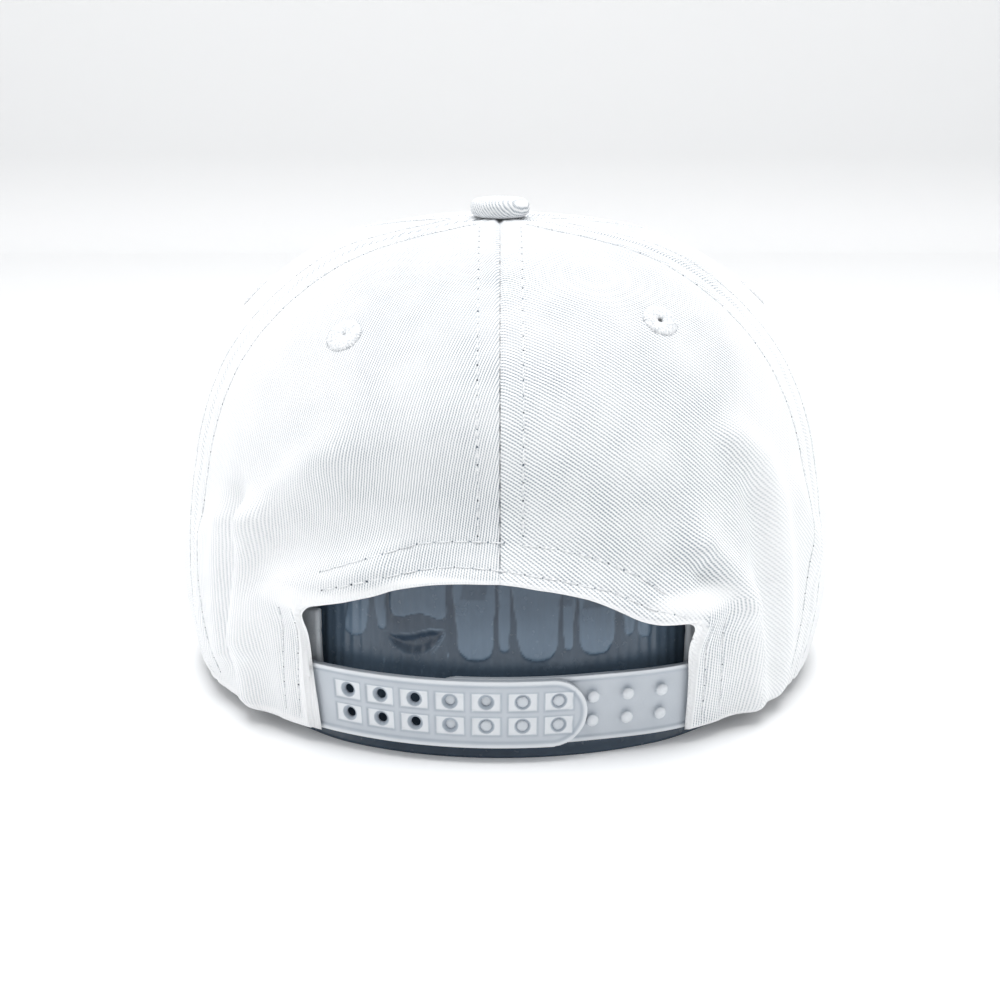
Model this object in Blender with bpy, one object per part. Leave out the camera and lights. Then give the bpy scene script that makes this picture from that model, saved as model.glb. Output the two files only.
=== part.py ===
"""Six-panel snapback cap standing on its fluted crown insert.

The back of the cap faces -Y, its peak points to +Y, and +X is on the right as seen from behind. The origin
is on the surface that the cap stands on, at the middle of the head opening. Angles run round the crown from
the middle of the back, positive towards +X, and rise runs up it from the rim, at 0, to the button, at 1.
"""

import math
from collections import namedtuple

import bmesh
import bpy
from mathutils import Vector

MM = 0.001

# Crown
HALF_LEFT = 87.5 * MM
HALF_RIGHT = 90.5 * MM
BACK_REACH = 94.5 * MM
FRONT_REACH = 104.0 * MM
CROWN_HEIGHT = 120.0 * MM
RIM_LIFT = 4.0 * MM
FRONT_ARCH = 5.0 * MM
CLOTH = 1.3 * MM
FRONT_CLOTH = 2.0 * MM
GAP = 0.3 * MM

# Opening at the back, and the heights and widths that the folds take shares of
OPENING_WIDTH = 96.0 * MM
ARCH_HEIGHT = 44.0 * MM
FOLD_HEIGHT = 3.0 * MM
FOLD_WIDTH = 10.0 * MM
FOLD_ROOM = 1.4 * MM

# Angles from the middle of the back between which the layers inside the crown change depth
INSERT_DEEPENS = (math.radians(28), math.radians(42))
BAND_SETTLES = (math.radians(56), math.radians(68))
INSERT_SETTLES = (math.radians(66), math.radians(82))
FRONT_CLOTH_STARTS = (math.radians(98), math.radians(111))

# Button and eyelets
BUTTON_RADIUS = 8.2 * MM
BUTTON_HEIGHT = 5.4 * MM
SHANK_RADIUS = 1.0 * MM
SHANK_LENGTH = 3.5 * MM
EYELET_RADIUS = 4.8 * MM
EYELET_BORE = 1.4 * MM
EYELET_COLLAR = 0.6 * MM
EYELET_HEIGHT = 0.9 * MM

# Sweatband and peak
BAND_HEIGHT = 32.0 * MM
BAND_THICKNESS = 1.5 * MM
BAND_SHOWS = 1.4 * MM
BAND_SLACK = 0.2 * MM
PEAK_LENGTH = 70.0 * MM
PEAK_WIDTH = 170.0 * MM
PEAK_SQUARENESS = 2.35
PEAK_HALF_ANGLE = math.radians(66)
PEAK_THICKNESS = 3.0 * MM
PEAK_DROP = 1.4 * MM

# Snap strap
STRAP_HEIGHT = 18.0 * MM
STRAP_THICKNESS = 1.7 * MM
STRAP_MIDDLE = 13.4 * MM
STRAP_BEAD = 0.3 * MM
STRAP_EDGE = 1.2 * MM
STRAP_LAP = 10.0 * MM
SNAP_PITCH = 9.1 * MM
SNAP_ROW = 6.5 * MM
SNAP_COLUMNS = 7
SNAPPED = 4
SNAP_SHIFT = -12.55 * MM
END_REACH = 7.2 * MM
POCKET_DEPTH = 0.35 * MM
POCKET_SHARE = 0.78
HOLE_RADIUS = 1.7 * MM
FUNNEL_RADIUS = 2.4 * MM
FUNNEL_DEPTH = 0.65 * MM
PEG_SLACK = 0.4 * MM
PEG_HEAD = 1.8 * MM

# Crown insert
INSERT_HEIGHT = 62.0 * MM
INSERT_WALL = 1.0 * MM
FLUTES = 36
FLUTE_DEPTH = 2.2 * MM

# Mesh fineness. The straps' grid meets a snap of 8 sides at its corners and middles
SNAP_SIDES = 8
TURNED_SIDES = 16
EYELET_SIDES = 8
SHARP = math.radians(40)

# Crown from the rim to the button, as shares of its height and of its reach at the rim
Section = namedtuple(
    "Section", "back_height side_height front_height back_reach side_reach front_reach")
SECTIONS = (
    Section(0.000, 0.000, 0.000, 1.000, 1.000, 1.000),
    Section(0.150, 0.150, 0.150, 1.015, 1.040, 0.990),
    Section(0.310, 0.310, 0.320, 1.015, 1.040, 0.975),
    Section(0.460, 0.470, 0.490, 0.985, 1.015, 0.950),
    Section(0.610, 0.620, 0.660, 0.920, 0.965, 0.915),
    Section(0.750, 0.755, 0.800, 0.805, 0.875, 0.840),
    Section(0.865, 0.868, 0.905, 0.640, 0.725, 0.700),
    Section(0.945, 0.947, 0.965, 0.435, 0.535, 0.490),
    Section(0.987, 0.988, 0.992, 0.210, 0.250, 0.240),
    Section(1.000, 1.000, 1.000, 0.000, 0.000, 0.000),
)

# Angle of the seam between back and side panels, at even steps of rise; the front seam mirrors it
SEAM_DEGREES = (62, 65.5, 67, 63.5, 57)

# Top edge of the opening at even steps from its middle to its side, as shares of the arch height
Arch = namedtuple("Arch", "left right")
ARCH = (
    Arch(1.000, 1.000),
    Arch(1.000, 0.985),
    Arch(0.985, 0.950),
    Arch(0.950, 0.900),
    Arch(0.900, 0.820),
    Arch(0.830, 0.730),
    Arch(0.640, 0.640),
)

# Folds of the cloth: height and width as shares, and the route as pairs of degrees and rise
Fold = namedtuple("Fold", "height width route")
FOLDS = (
    Fold(0.80, 0.70, ((-31, 0.42), (-37, 0.385), (-45, 0.31))),
    Fold(1.00, 0.50, ((-45, 0.31), (-47, 0.18), (-48, 0.03))),
    Fold(-0.90, 0.45, ((-51, 0.33), (-51, 0.22), (-52, 0.06))),
    Fold(0.50, 0.40, ((-55, 0.29), (-56, 0.08))),
    Fold(0.40, 0.50, ((-61, 0.25), (-62, 0.06))),
    Fold(-0.80, 1.50, ((-36, 0.33), (-17, 0.385), (-4, 0.37))),
    Fold(0.45, 1.30, ((-28, 0.45), (-10, 0.49))),
    Fold(0.85, 0.55, ((-45, 0.13), (-42, 0.19), (-38, 0.22), (-30, 0.25), (-20, 0.28))),
    Fold(0.80, 0.55, ((-32, 0.20), (-17, 0.25), (0, 0.265), (12, 0.24), (22, 0.20), (32, 0.18))),
    Fold(-0.40, 1.40, ((5, 0.36), (18, 0.35), (30, 0.30))),
    Fold(0.95, 0.50, ((34, 0.29), (41, 0.21), (45, 0.12), (47, 0.02))),
    Fold(-0.60, 0.40, ((33, 0.25), (38, 0.215))),
    Fold(-0.80, 0.50, ((46, 0.34), (47, 0.21), (50, 0.07))),
    Fold(0.75, 0.55, ((44, 0.44), (49, 0.396), (51, 0.33), (52, 0.18), (54, 0.03))),
    Fold(0.50, 0.60, ((58, 0.33), (61, 0.27), (65, 0.22))),
    Fold(0.40, 0.60, ((33, 0.33), (30, 0.29), (30, 0.25))),
    Fold(0.60, 0.50, ((26, 0.21), (33, 0.21), (41, 0.19))),
)

DEEPEST_FOLD = max(-fold.height for fold in FOLDS)

# Eyelets: degrees round the crown, and the share of its height
Eyelet = namedtuple("Eyelet", "panel degrees height")
EYELETS = (
    Eyelet("panel_back_left", -36.7, 0.81),
    Eyelet("panel_back_right", 38.7, 0.835),
    Eyelet("panel_side_left", -93.0, 0.82),
    Eyelet("panel_side_right", 93.0, 0.82),
    Eyelet("panel_front_left", -147.0, 0.85),
    Eyelet("panel_front_right", 147.0, 0.85),
)

# Shares of the way up a panel at which its rows of faces lie
BACK_TAB_ROWS = (0.0, 0.2, 0.4, 0.6, 0.8)
BACK_ROWS = (
    0.0, 0.04, 0.08, 0.125, 0.17, 0.215, 0.26, 0.31, 0.37, 0.45, 0.54, 0.64, 0.74, 0.84, 0.93, 1.0)
SIDE_ROWS = (0.0, 0.09, 0.18, 0.28, 0.38, 0.48, 0.58, 0.68, 0.78, 0.87, 0.94, 1.0)
OPENING_COLUMNS = (0.0, 0.14, 0.28, 0.42, 0.56, 0.70, 0.82, 0.92, 0.975, 1.0)
TAB_COLUMNS = (0.0, 0.11, 0.22, 0.33, 0.44, 0.55, 0.66, 0.77, 0.88, 1.0)
PLAIN_COLUMNS = 8

WHITE = (0.87, 0.885, 0.90, 1.0)
STRAP_GREY = (0.66, 0.70, 0.75, 1.0)
SMOKE = (0.035, 0.050, 0.070, 1.0)


def clear_scene():
    for obj in list(bpy.data.objects):
        bpy.data.objects.remove(obj)


def material(name, color, roughness):
    made = bpy.data.materials.new(name)
    made.use_nodes = True
    shader = made.node_tree.nodes["Principled BSDF"]
    shader.inputs["Base Color"].default_value = color
    shader.inputs["Roughness"].default_value = roughness
    shader.inputs["Metallic"].default_value = 0.0
    return made


def finished(name, mesh, color, roughness):
    """The object of a mesh, in its own material and shaded smooth."""
    obj = bpy.data.objects.new(name, mesh)
    bpy.context.scene.collection.objects.link(obj)
    mesh.materials.append(material(name, color, roughness))
    mesh.shade_smooth()
    mesh.set_sharp_from_angle(angle=SHARP)
    return obj


def closed_mesh(name, faces):
    """One closed mesh of faces given by their corners, with its faces pointing out."""
    shell = bmesh.new()
    for corners in faces:
        shell.faces.new([shell.verts.new(corner) for corner in corners])
    bmesh.ops.remove_doubles(shell, verts=shell.verts, dist=0.002 * MM)
    bmesh.ops.recalc_face_normals(shell, faces=shell.faces)
    mesh = bpy.data.meshes.new(name)
    shell.to_mesh(mesh)
    shell.free()
    return mesh


def walled(cells, outer, inner, around=0, edged=None):
    """Faces of a wall over a set of grid cells. Its points are outer(i, j) and inner(i, j). A grid
    that closes on itself has that many cells around. The wall has an edge where the cells in edged,
    or else cells, end."""
    def wrapped(cell):
        return (cell[0] % around, cell[1]) if around else cell

    whole = edged or cells
    faces = []
    for i, j in cells:
        corners = [wrapped(c) for c in ((i, j), (i + 1, j), (i + 1, j + 1), (i, j + 1))]
        faces.append([outer(*c) for c in corners])
        faces.append([inner(*c) for c in reversed(corners)])
        beside = ((i, j - 1), (i + 1, j), (i, j + 1), (i - 1, j))
        for k, neighbour in enumerate(beside):
            if wrapped(neighbour) not in whole:
                a, b = corners[k], corners[(k + 1) % 4]
                faces.append([outer(*b), outer(*a), inner(*a), inner(*b)])
    return faces


def smooth(values, place, mirror=1):
    """A smooth curve through even steps of values. Past its last value it goes back down the same
    steps, with their sign changed if mirror is -1."""
    last = len(values) - 1
    at = min(max(place, 0.0), 1.0) * last
    i = min(int(at), last - 1)
    u = at - i
    a = values[i - 1] if i > 0 else 2 * values[0] - values[1]
    b, c = values[i], values[i + 1]
    d = values[i + 2] if i + 2 <= last else mirror * values[last - 1]
    cubic = (3 * (b - c) + d - a) * u ** 3
    return 0.5 * (2 * b + (c - a) * u + (2 * a - 5 * b + 4 * c - d) * u * u + cubic)


def step(low, high, value):
    """0 up to low, 1 from high, and a smooth step between."""
    part = min(max((value - low) / (high - low), 0.0), 1.0)
    return part * part * (3 - 2 * part)


def half_width(angle):
    return HALF_RIGHT if math.sin(angle) > 0 else HALF_LEFT


def reach(angle):
    return BACK_REACH if math.cos(angle) > 0 else FRONT_REACH


def column(name):
    return [getattr(section, name) for section in SECTIONS]


HEIGHTS = [column(part + "_height") for part in ("back", "side", "front")]
REACHES = [column(part + "_reach") for part in ("back", "side", "front")]


def round_crown(angle, back, side, front):
    """A value that goes round the crown from its back through its side to its front."""
    lengthways = math.cos(angle) ** 2
    return side * (1 - lengthways) + (back if math.cos(angle) > 0 else front) * lengthways


def rim_arch(angle):
    """How much the rim lifts over the peak."""
    return FRONT_ARCH * max(0.0, -math.cos(angle)) ** 2


def crown_base(angle, rise):
    """Outer face of the crown without its folds."""
    height = round_crown(angle, *(smooth(values, rise) for values in HEIGHTS))
    share = round_crown(angle, *(smooth(values, rise, -1) for values in REACHES))
    return Vector((
        half_width(angle) * share * math.sin(angle),
        -reach(angle) * share * math.cos(angle),
        RIM_LIFT + CROWN_HEIGHT * height + rim_arch(angle) * (1 - height),
    ))


def crown_out(angle, rise):
    """Unit vector out of the crown."""
    nudge = 0.002
    across = crown_base(angle + nudge, rise) - crown_base(angle - nudge, rise)
    low = max(rise - nudge, 0.0)
    up = crown_base(angle, low + 2 * nudge) - crown_base(angle, low)
    return across.cross(up).normalized()


def flat_place(angle, rise):
    """Where a point of the crown lies when its cloth is laid flat, near enough for the folds."""
    around = (BACK_REACH + HALF_RIGHT) / 2
    slope = CROWN_HEIGHT + BACK_REACH / 2
    return Vector((angle * around, rise * slope))


def distance(point, a, b):
    """From a point to the line between a and b."""
    along = b - a
    part = min(max((point - a).dot(along) / along.length_squared, 0.0), 1.0)
    return (point - a - along * part).length


FOLD_ROUTES = [
    [flat_place(math.radians(degrees), rise) for degrees, rise in fold.route] for fold in FOLDS]


def fold_out(angle, rise):
    """How far the folds push the cloth out."""
    point = flat_place(angle, rise)
    total = 0.0
    for fold, route in zip(FOLDS, FOLD_ROUTES):
        near = min(distance(point, a, b) for a, b in zip(route, route[1:]))
        total += fold.height * math.exp(-(near / (fold.width * FOLD_WIDTH)) ** 2)
    return FOLD_HEIGHT * total


def crown(angle, rise, inset=0.0):
    """A point of the crown, folds and all, or inset from it."""
    out = crown_out(angle, rise)
    return crown_base(angle, rise) + out * (fold_out(angle, rise) - inset)


def rise_at(height):
    """The rise at which the back of the crown is this high over the rim."""
    low, high = 0.0, 1.0
    for _ in range(30):
        middle = (low + high) / 2
        if CROWN_HEIGHT * smooth(HEIGHTS[0], middle) < height:
            low = middle
        else:
            high = middle
    return low


def seam_angle(rise):
    return math.radians(smooth(SEAM_DEGREES, rise))


def opening_angle(side):
    """Angle of the side edge of the opening."""
    return side * math.asin(OPENING_WIDTH / 2 / half_width(side))


def arch_rise(angle):
    """Rise of the opening's top edge."""
    side = math.copysign(1, angle)
    share = min(angle / opening_angle(side), 1.0)
    edge = [arch.right if side > 0 else arch.left for arch in ARCH]
    return rise_at(ARCH_HEIGHT * smooth(edge, share))


def tip_point(share, start, end, inset):
    """A point of the small round hole in the tip of the crown, which the shank goes through, at a
    share of the way between the seams of a panel."""
    radius = SHANK_RADIUS + GAP
    trim = GAP / 2 / radius
    angle = start + trim + share * (end - start - 2 * trim)
    top = RIM_LIFT + CROWN_HEIGHT - inset
    return Vector((radius * math.sin(angle), -radius * math.cos(angle), top))


def panel(name, cells, angle_at, rise_at_cell, last, thickness):
    """One crown panel. angle_at(i, rise) and rise_at_cell(i, j) place its grid, whose seams are at
    columns 0 and last, and which keeps clear of the next panel there."""
    side = -1 if "left" in name else 1

    def placed(i, j, inset):
        rise = rise_at_cell(i, j)
        angle = angle_at(i, rise)
        if rise >= 1.0:
            start, end = angle_at(0, rise), angle_at(last, rise)
            tip = tip_point((angle - start) / (end - start), start, end, inset)
            return Vector((side * tip.x, tip.y, tip.z))
        base = crown_base(side * angle, rise)
        trim = GAP / 2 / math.hypot(base.x, base.y)
        return crown(side * (angle + trim * ((i == 0) - (i == last))), rise, inset)

    def point(inset):
        known = {}

        def at(i, j):
            if (i, j) not in known:
                known[i, j] = placed(i, j, inset)
            return known[i, j]
        return at

    mesh = closed_mesh(name, walled(cells, point(0.0), point(thickness)))
    return finished(name, mesh, WHITE, 0.9)


def back_panel(name):
    """A back panel with its half of the opening and the tab beside it."""
    side = -1 if "left" in name else 1
    edge = abs(opening_angle(side))
    across = len(OPENING_COLUMNS) - 1
    last = across + len(TAB_COLUMNS) - 1
    tab = len(BACK_TAB_ROWS)

    def angle_at(i, rise):
        if i <= across:
            return OPENING_COLUMNS[i] * edge
        return edge + TAB_COLUMNS[i - across] * (seam_angle(rise) - edge)

    def rise_at_cell(i, j):
        arch = arch_rise(side * OPENING_COLUMNS[min(i, across)] * edge)
        if j < tab:
            return arch * BACK_TAB_ROWS[j]
        return arch + (1 - arch) * BACK_ROWS[j - tab]

    cells = {
        (i, j)
        for i in range(last)
        for j in range(tab + len(BACK_ROWS) - 1)
        if i >= across or j >= tab
    }
    return panel(name, cells, angle_at, rise_at_cell, last, CLOTH)


def plain_panel(name, start, end, thickness):
    """A side or front panel between the seams at the angles start(rise) and end(rise)."""
    def angle_at(i, rise):
        return start(rise) + i / PLAIN_COLUMNS * (end(rise) - start(rise))

    cells = {(i, j) for i in range(PLAIN_COLUMNS) for j in range(len(SIDE_ROWS) - 1)}
    return panel(name, cells, angle_at, lambda i, j: SIDE_ROWS[j], PLAIN_COLUMNS, thickness)


def front_seam(rise):
    return math.pi - seam_angle(rise)


def crown_panels():
    for side in ("left", "right"):
        back_panel("panel_back_" + side)
        plain_panel("panel_side_" + side, seam_angle, front_seam, CLOTH)
        plain_panel("panel_front_" + side, front_seam, lambda rise: math.pi, FRONT_CLOTH)


def turned(name, profile, sides, color, roughness):
    """A solid turned round +Z from a profile of pairs of radius and height. It starts and ends on
    the axis, or else closes on itself."""
    def corner(radius_and_height, k):
        radius, height = radius_and_height
        turn = math.tau * (k % sides) / sides
        return Vector((radius * math.cos(turn), radius * math.sin(turn), height))

    on_axis = profile[0][0] == 0.0
    after = profile[1:] if on_axis else profile[1:] + profile[:1]
    faces = []
    for k in range(sides):
        for low, high in zip(profile, after):
            if low[0] == 0.0:
                faces.append([corner(low, k), corner(high, k + 1), corner(high, k)])
            elif high[0] == 0.0:
                faces.append([corner(low, k), corner(low, k + 1), corner(high, k)])
            else:
                ends = (corner(low, k), corner(low, k + 1), corner(high, k + 1), corner(high, k))
                faces.append(ends)
    return finished(name, closed_mesh(name, faces), color, roughness)


def button():
    low = GAP
    profile = [
        (0.0, -SHANK_LENGTH),
        (SHANK_RADIUS, -SHANK_LENGTH),
        (SHANK_RADIUS, low),
        (0.88 * BUTTON_RADIUS, low),
        (BUTTON_RADIUS, low + 0.28 * BUTTON_HEIGHT),
        (0.96 * BUTTON_RADIUS, low + 0.62 * BUTTON_HEIGHT),
        (0.78 * BUTTON_RADIUS, low + 0.86 * BUTTON_HEIGHT),
        (0.45 * BUTTON_RADIUS, low + 0.97 * BUTTON_HEIGHT),
        (0.0, low + BUTTON_HEIGHT),
    ]
    made = turned("button", profile, TURNED_SIDES, WHITE, 0.9)
    made.location = (0.0, 0.0, RIM_LIFT + CROWN_HEIGHT)


def eyelets():
    """A stitched eyelet in each panel, with its collar through a hole that is cut for it."""
    collar = EYELET_BORE + EYELET_COLLAR
    for number, eyelet in enumerate(EYELETS, 1):
        thickness = FRONT_CLOTH if "front" in eyelet.panel else CLOTH
        profile = [
            (EYELET_BORE, -thickness),
            (collar, -thickness),
            (collar, GAP),
            (EYELET_RADIUS, GAP),
            (0.8 * EYELET_RADIUS, EYELET_HEIGHT),
            (EYELET_BORE, EYELET_HEIGHT),
        ]
        angle = math.radians(eyelet.degrees)
        rise = rise_at(eyelet.height * CROWN_HEIGHT)
        out = crown_out(angle, rise).to_track_quat("Z", "Y")
        made = turned(f"eyelet_{number}", profile, EYELET_SIDES, WHITE, 0.85)
        radius = collar + GAP
        far = 3 * thickness
        through = [(0.0, -far), (radius, -far), (radius, far), (0.0, far)]
        cutter = turned(f"eyelet_cutter_{number}", through, EYELET_SIDES, WHITE, 0.9)
        for obj in (made, cutter):
            obj.location = crown(angle, rise)
            obj.rotation_mode = "QUATERNION"
            obj.rotation_quaternion = out
        cutter.hide_render = True
        cutter.display_type = "WIRE"
        cut = bpy.data.objects[eyelet.panel].modifiers.new("eyelet_hole", "BOOLEAN")
        cut.operation = "DIFFERENCE"
        cut.object = cutter


def strap_inset():
    """From the crown's outer face to the strap's."""
    return CLOTH + GAP


def strap_layer():
    return STRAP_THICKNESS + GAP


def band_inset(angle):
    """From the crown's outer face to the sweatband's, which makes room for the strap and the folds
    near the tabs."""
    turn = abs(math.remainder(angle, math.tau))
    room = max(strap_layer(), DEEPEST_FOLD * FOLD_HEIGHT)
    at_tab = 1 - step(*BAND_SETTLES, turn)
    at_front = step(*FRONT_CLOTH_STARTS, turn)
    return CLOTH + GAP + BAND_SLACK + room * at_tab + (FRONT_CLOTH - CLOTH) * at_front


def band_angles():
    """Angles of the sweatband's grid: those of the panels at the rim, from tab to tab."""
    seam = seam_angle(0.0)
    start = opening_angle(1) - BAND_SHOWS / HALF_RIGHT
    edge = opening_angle(1)
    half = [start]
    half += [edge + share * (seam - edge) for share in TAB_COLUMNS]
    for low, high in ((seam, math.pi - seam), (math.pi - seam, math.pi)):
        half += [low + (i + 1) / PLAIN_COLUMNS * (high - low) for i in range(PLAIN_COLUMNS)]
    return half + [math.tau - angle for angle in reversed(half[:-1])]


def sweatband():
    angles = band_angles()
    top = rise_at(BAND_HEIGHT)
    rows = 2

    def point(depth):
        def at(i, j):
            turn = math.remainder(angles[i], math.tau)
            rise = j / rows * top
            return crown_base(turn, rise) - crown_out(turn, rise) * (band_inset(turn) + depth)
        return at

    cells = {(i, j) for i in range(len(angles) - 1) for j in range(rows)}
    faces = walled(cells, point(0.0), point(BAND_THICKNESS))
    finished("sweatband", closed_mesh("sweatband", faces), WHITE, 0.85)


def insert_inset(angle):
    """From the crown's outer face at the rim to the crown insert."""
    turn = abs(math.remainder(angle, math.tau))
    beside_band = band_inset(angle) + BAND_THICKNESS + GAP
    behind_folds = FOLD_ROOM * step(*INSERT_DEEPENS, turn)
    behind_strap = strap_inset() + 2 * strap_layer() + behind_folds
    return behind_strap + (beside_band - behind_strap) * step(*INSERT_SETTLES, turn)


def level_out(angle, rise):
    """Unit vector out of the crown and level."""
    out = crown_out(angle, rise)
    return Vector((out.x, out.y, 0.0)).normalized()


def outline(angle, inset, rise=0.0):
    """A point of the crown's outline seen from above, at the rim or higher, inset from the crown."""
    base = crown_base(angle, rise)
    return Vector((base.x, base.y, 0.0)) - level_out(angle, rise) * inset


def crown_insert():
    """The fluted ring that holds the crown out and stands on the surface."""
    per_flute = 4
    around = FLUTES * per_flute
    wave = (0.0, 0.0, 1.0, 1.0)
    top = rise_at(INSERT_HEIGHT - RIM_LIFT)

    def point(depth):
        def at(i, j):
            angle = math.remainder(math.tau * i / around, math.tau)
            flute = FLUTE_DEPTH * wave[i % per_flute]
            place = outline(angle, insert_inset(angle) + flute + depth, top * j)
            place.z = INSERT_HEIGHT * j
            return place
        return at

    cells = {(i, 0) for i in range(around)}
    faces = walled(cells, point(0.0), point(INSERT_WALL), around)
    finished("crown_insert", closed_mesh("crown_insert", faces), SMOKE, 0.15)


def peak():
    """The visor: its inner edge is under the front panels, and it arches with the rim."""
    columns, rows = 28, 5
    corner = -FRONT_REACH * math.cos(math.pi - PEAK_HALF_ANGLE)
    length = FRONT_REACH + PEAK_LENGTH - corner
    middle = (HALF_RIGHT - HALF_LEFT) / 2

    def outer_edge(across):
        turn = across * math.pi / 2
        x = abs(math.sin(turn)) ** (2 / PEAK_SQUARENESS) * math.copysign(PEAK_WIDTH / 2, turn)
        y = max(math.cos(turn), 0.0) ** (2 / PEAK_SQUARENESS) * length
        return Vector((middle + x, corner + y, 0.0))

    def place(i, j):
        across = 2 * i / columns - 1
        angle = math.pi - across * PEAK_HALF_ANGLE
        inner = outline(angle, insert_inset(angle) - GAP)
        return inner.lerp(outer_edge(across), j / rows)

    def arch(x):
        share = min(abs(x) / half_width(x), 1.0)
        return RIM_LIFT + FRONT_ARCH * (1 - share ** 2) - GAP

    def point(depth):
        def at(i, j):
            flat = place(i, j)
            return Vector((flat.x, flat.y, arch(flat.x) - PEAK_DROP * j / rows - depth))
        return at

    cells = {(i, j) for i in range(columns) for j in range(rows)}
    faces = walled(cells, point(0.0), point(PEAK_THICKNESS))
    finished("peak", closed_mesh("peak", faces), WHITE, 0.9)


Track = namedtuple("Track", "length x y out_x out_y lean")


def strap_track():
    """The strap's outer face seen from above, with its length measured from the middle of the back
    and how far it leans out for each metre of height."""
    steps = 240
    widest = math.radians(75)
    low, high = (rise_at(STRAP_MIDDLE - RIM_LIFT + share * STRAP_HEIGHT) for share in (-0.5, 0.5))
    spots = []
    for k in range(steps + 1):
        angle = widest * (2 * k / steps - 1)
        bottom, top = outline(angle, strap_inset(), low), outline(angle, strap_inset(), high)
        place = (bottom + top) / 2
        level = level_out(angle, (low + high) / 2)
        lean = (top - bottom).dot(level) / STRAP_HEIGHT
        spots.append((place.x, place.y, level.x, level.y, lean))
    lengths = [0.0]
    for a, b in zip(spots, spots[1:]):
        lengths.append(lengths[-1] + math.hypot(b[0] - a[0], b[1] - a[1]))
    middle = lengths[steps // 2]
    return [Track(length - middle, *spot) for length, spot in zip(lengths, spots)]


TRACK = strap_track()


def on_track(length):
    """The track at this length from the middle of the back."""
    k = 0
    while k < len(TRACK) - 2 and TRACK[k + 1].length < length:
        k += 1
    a, b = TRACK[k], TRACK[k + 1]
    part = (length - a.length) / (b.length - a.length)
    return Track(*(p + part * (q - p) for p, q in zip(a, b)))


def track_length(angle):
    """Length along the track to this angle."""
    edge = outline(angle, strap_inset())
    return min(TRACK, key=lambda spot: math.hypot(spot.x - edge.x, spot.y - edge.y)).length


def snap_loop(half_across, half_up, roundness, depth):
    """Points round one snap: on a rectangle, or on a circle where roundness is 1."""
    points = []
    for k in range(SNAP_SIDES):
        turn = math.tau * (1 / 8 + k / SNAP_SIDES)
        x, y = math.cos(turn), math.sin(turn)
        widest = max(abs(x), abs(y))
        square = Vector((half_across * x / widest, half_up * y / widest))
        circle = Vector((half_across * x, half_up * y))
        flat = square.lerp(circle, roundness)
        points.append(Vector((flat.x, flat.y, depth)))
    return points


def rings(loops, middle):
    """Faces between each loop and the next, moved to middle."""
    faces = []
    for low, high in zip(loops, loops[1:]):
        for k in range(len(low)):
            n = (k + 1) % len(low)
            faces.append([middle + p for p in (low[k], low[n], high[n], high[k])])
    return faces


def cap_of(loop, middle):
    """Faces that close a loop."""
    centre = sum(loop, Vector()) / len(loop)
    return [[middle + p for p in (loop[k - 1], loop[k], centre)] for k in range(len(loop))]


def hole_faces(middle):
    """The cell round one open hole: a pocket, a funnel in it and the bore."""
    cell = (SNAP_PITCH / 2, SNAP_ROW / 2)
    pocket = (cell[0] * POCKET_SHARE, cell[1] * POCKET_SHARE)
    loops = [
        snap_loop(*cell, 0.0, 0.0),
        snap_loop(*pocket, 0.0, 0.0),
        snap_loop(*pocket, 0.0, POCKET_DEPTH),
        snap_loop(FUNNEL_RADIUS, FUNNEL_RADIUS, 1.0, POCKET_DEPTH),
        snap_loop(HOLE_RADIUS, HOLE_RADIUS, 1.0, POCKET_DEPTH + FUNNEL_DEPTH),
        snap_loop(HOLE_RADIUS, HOLE_RADIUS, 1.0, STRAP_THICKNESS),
        snap_loop(*cell, 0.0, STRAP_THICKNESS),
    ]
    return rings(loops, middle)


def peg_faces(middle):
    """The cell round one peg: its neck, its head and its round top."""
    cell = (SNAP_PITCH / 2, SNAP_ROW / 2)
    neck = HOLE_RADIUS - PEG_SLACK
    shoulder = strap_layer() - POCKET_DEPTH - FUNNEL_DEPTH
    top = strap_layer()
    front = [
        snap_loop(*cell, 0.0, 0.0),
        snap_loop(neck, neck, 1.0, 0.0),
        snap_loop(neck, neck, 1.0, -shoulder),
        snap_loop(PEG_HEAD, PEG_HEAD, 1.0, -(shoulder + 0.4 * (top - shoulder))),
        snap_loop(0.6 * PEG_HEAD, 0.6 * PEG_HEAD, 1.0, -top),
    ]
    back = snap_loop(*cell, 0.0, STRAP_THICKNESS)
    return rings(front, middle) + cap_of(front[-1], middle) + cap_of(back, middle)


def cell_marks(start, count, size):
    """Places of the ends and middles of count cells of this size, from start."""
    return [start + k / 2 * size for k in range(2 * count + 1)]


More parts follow.
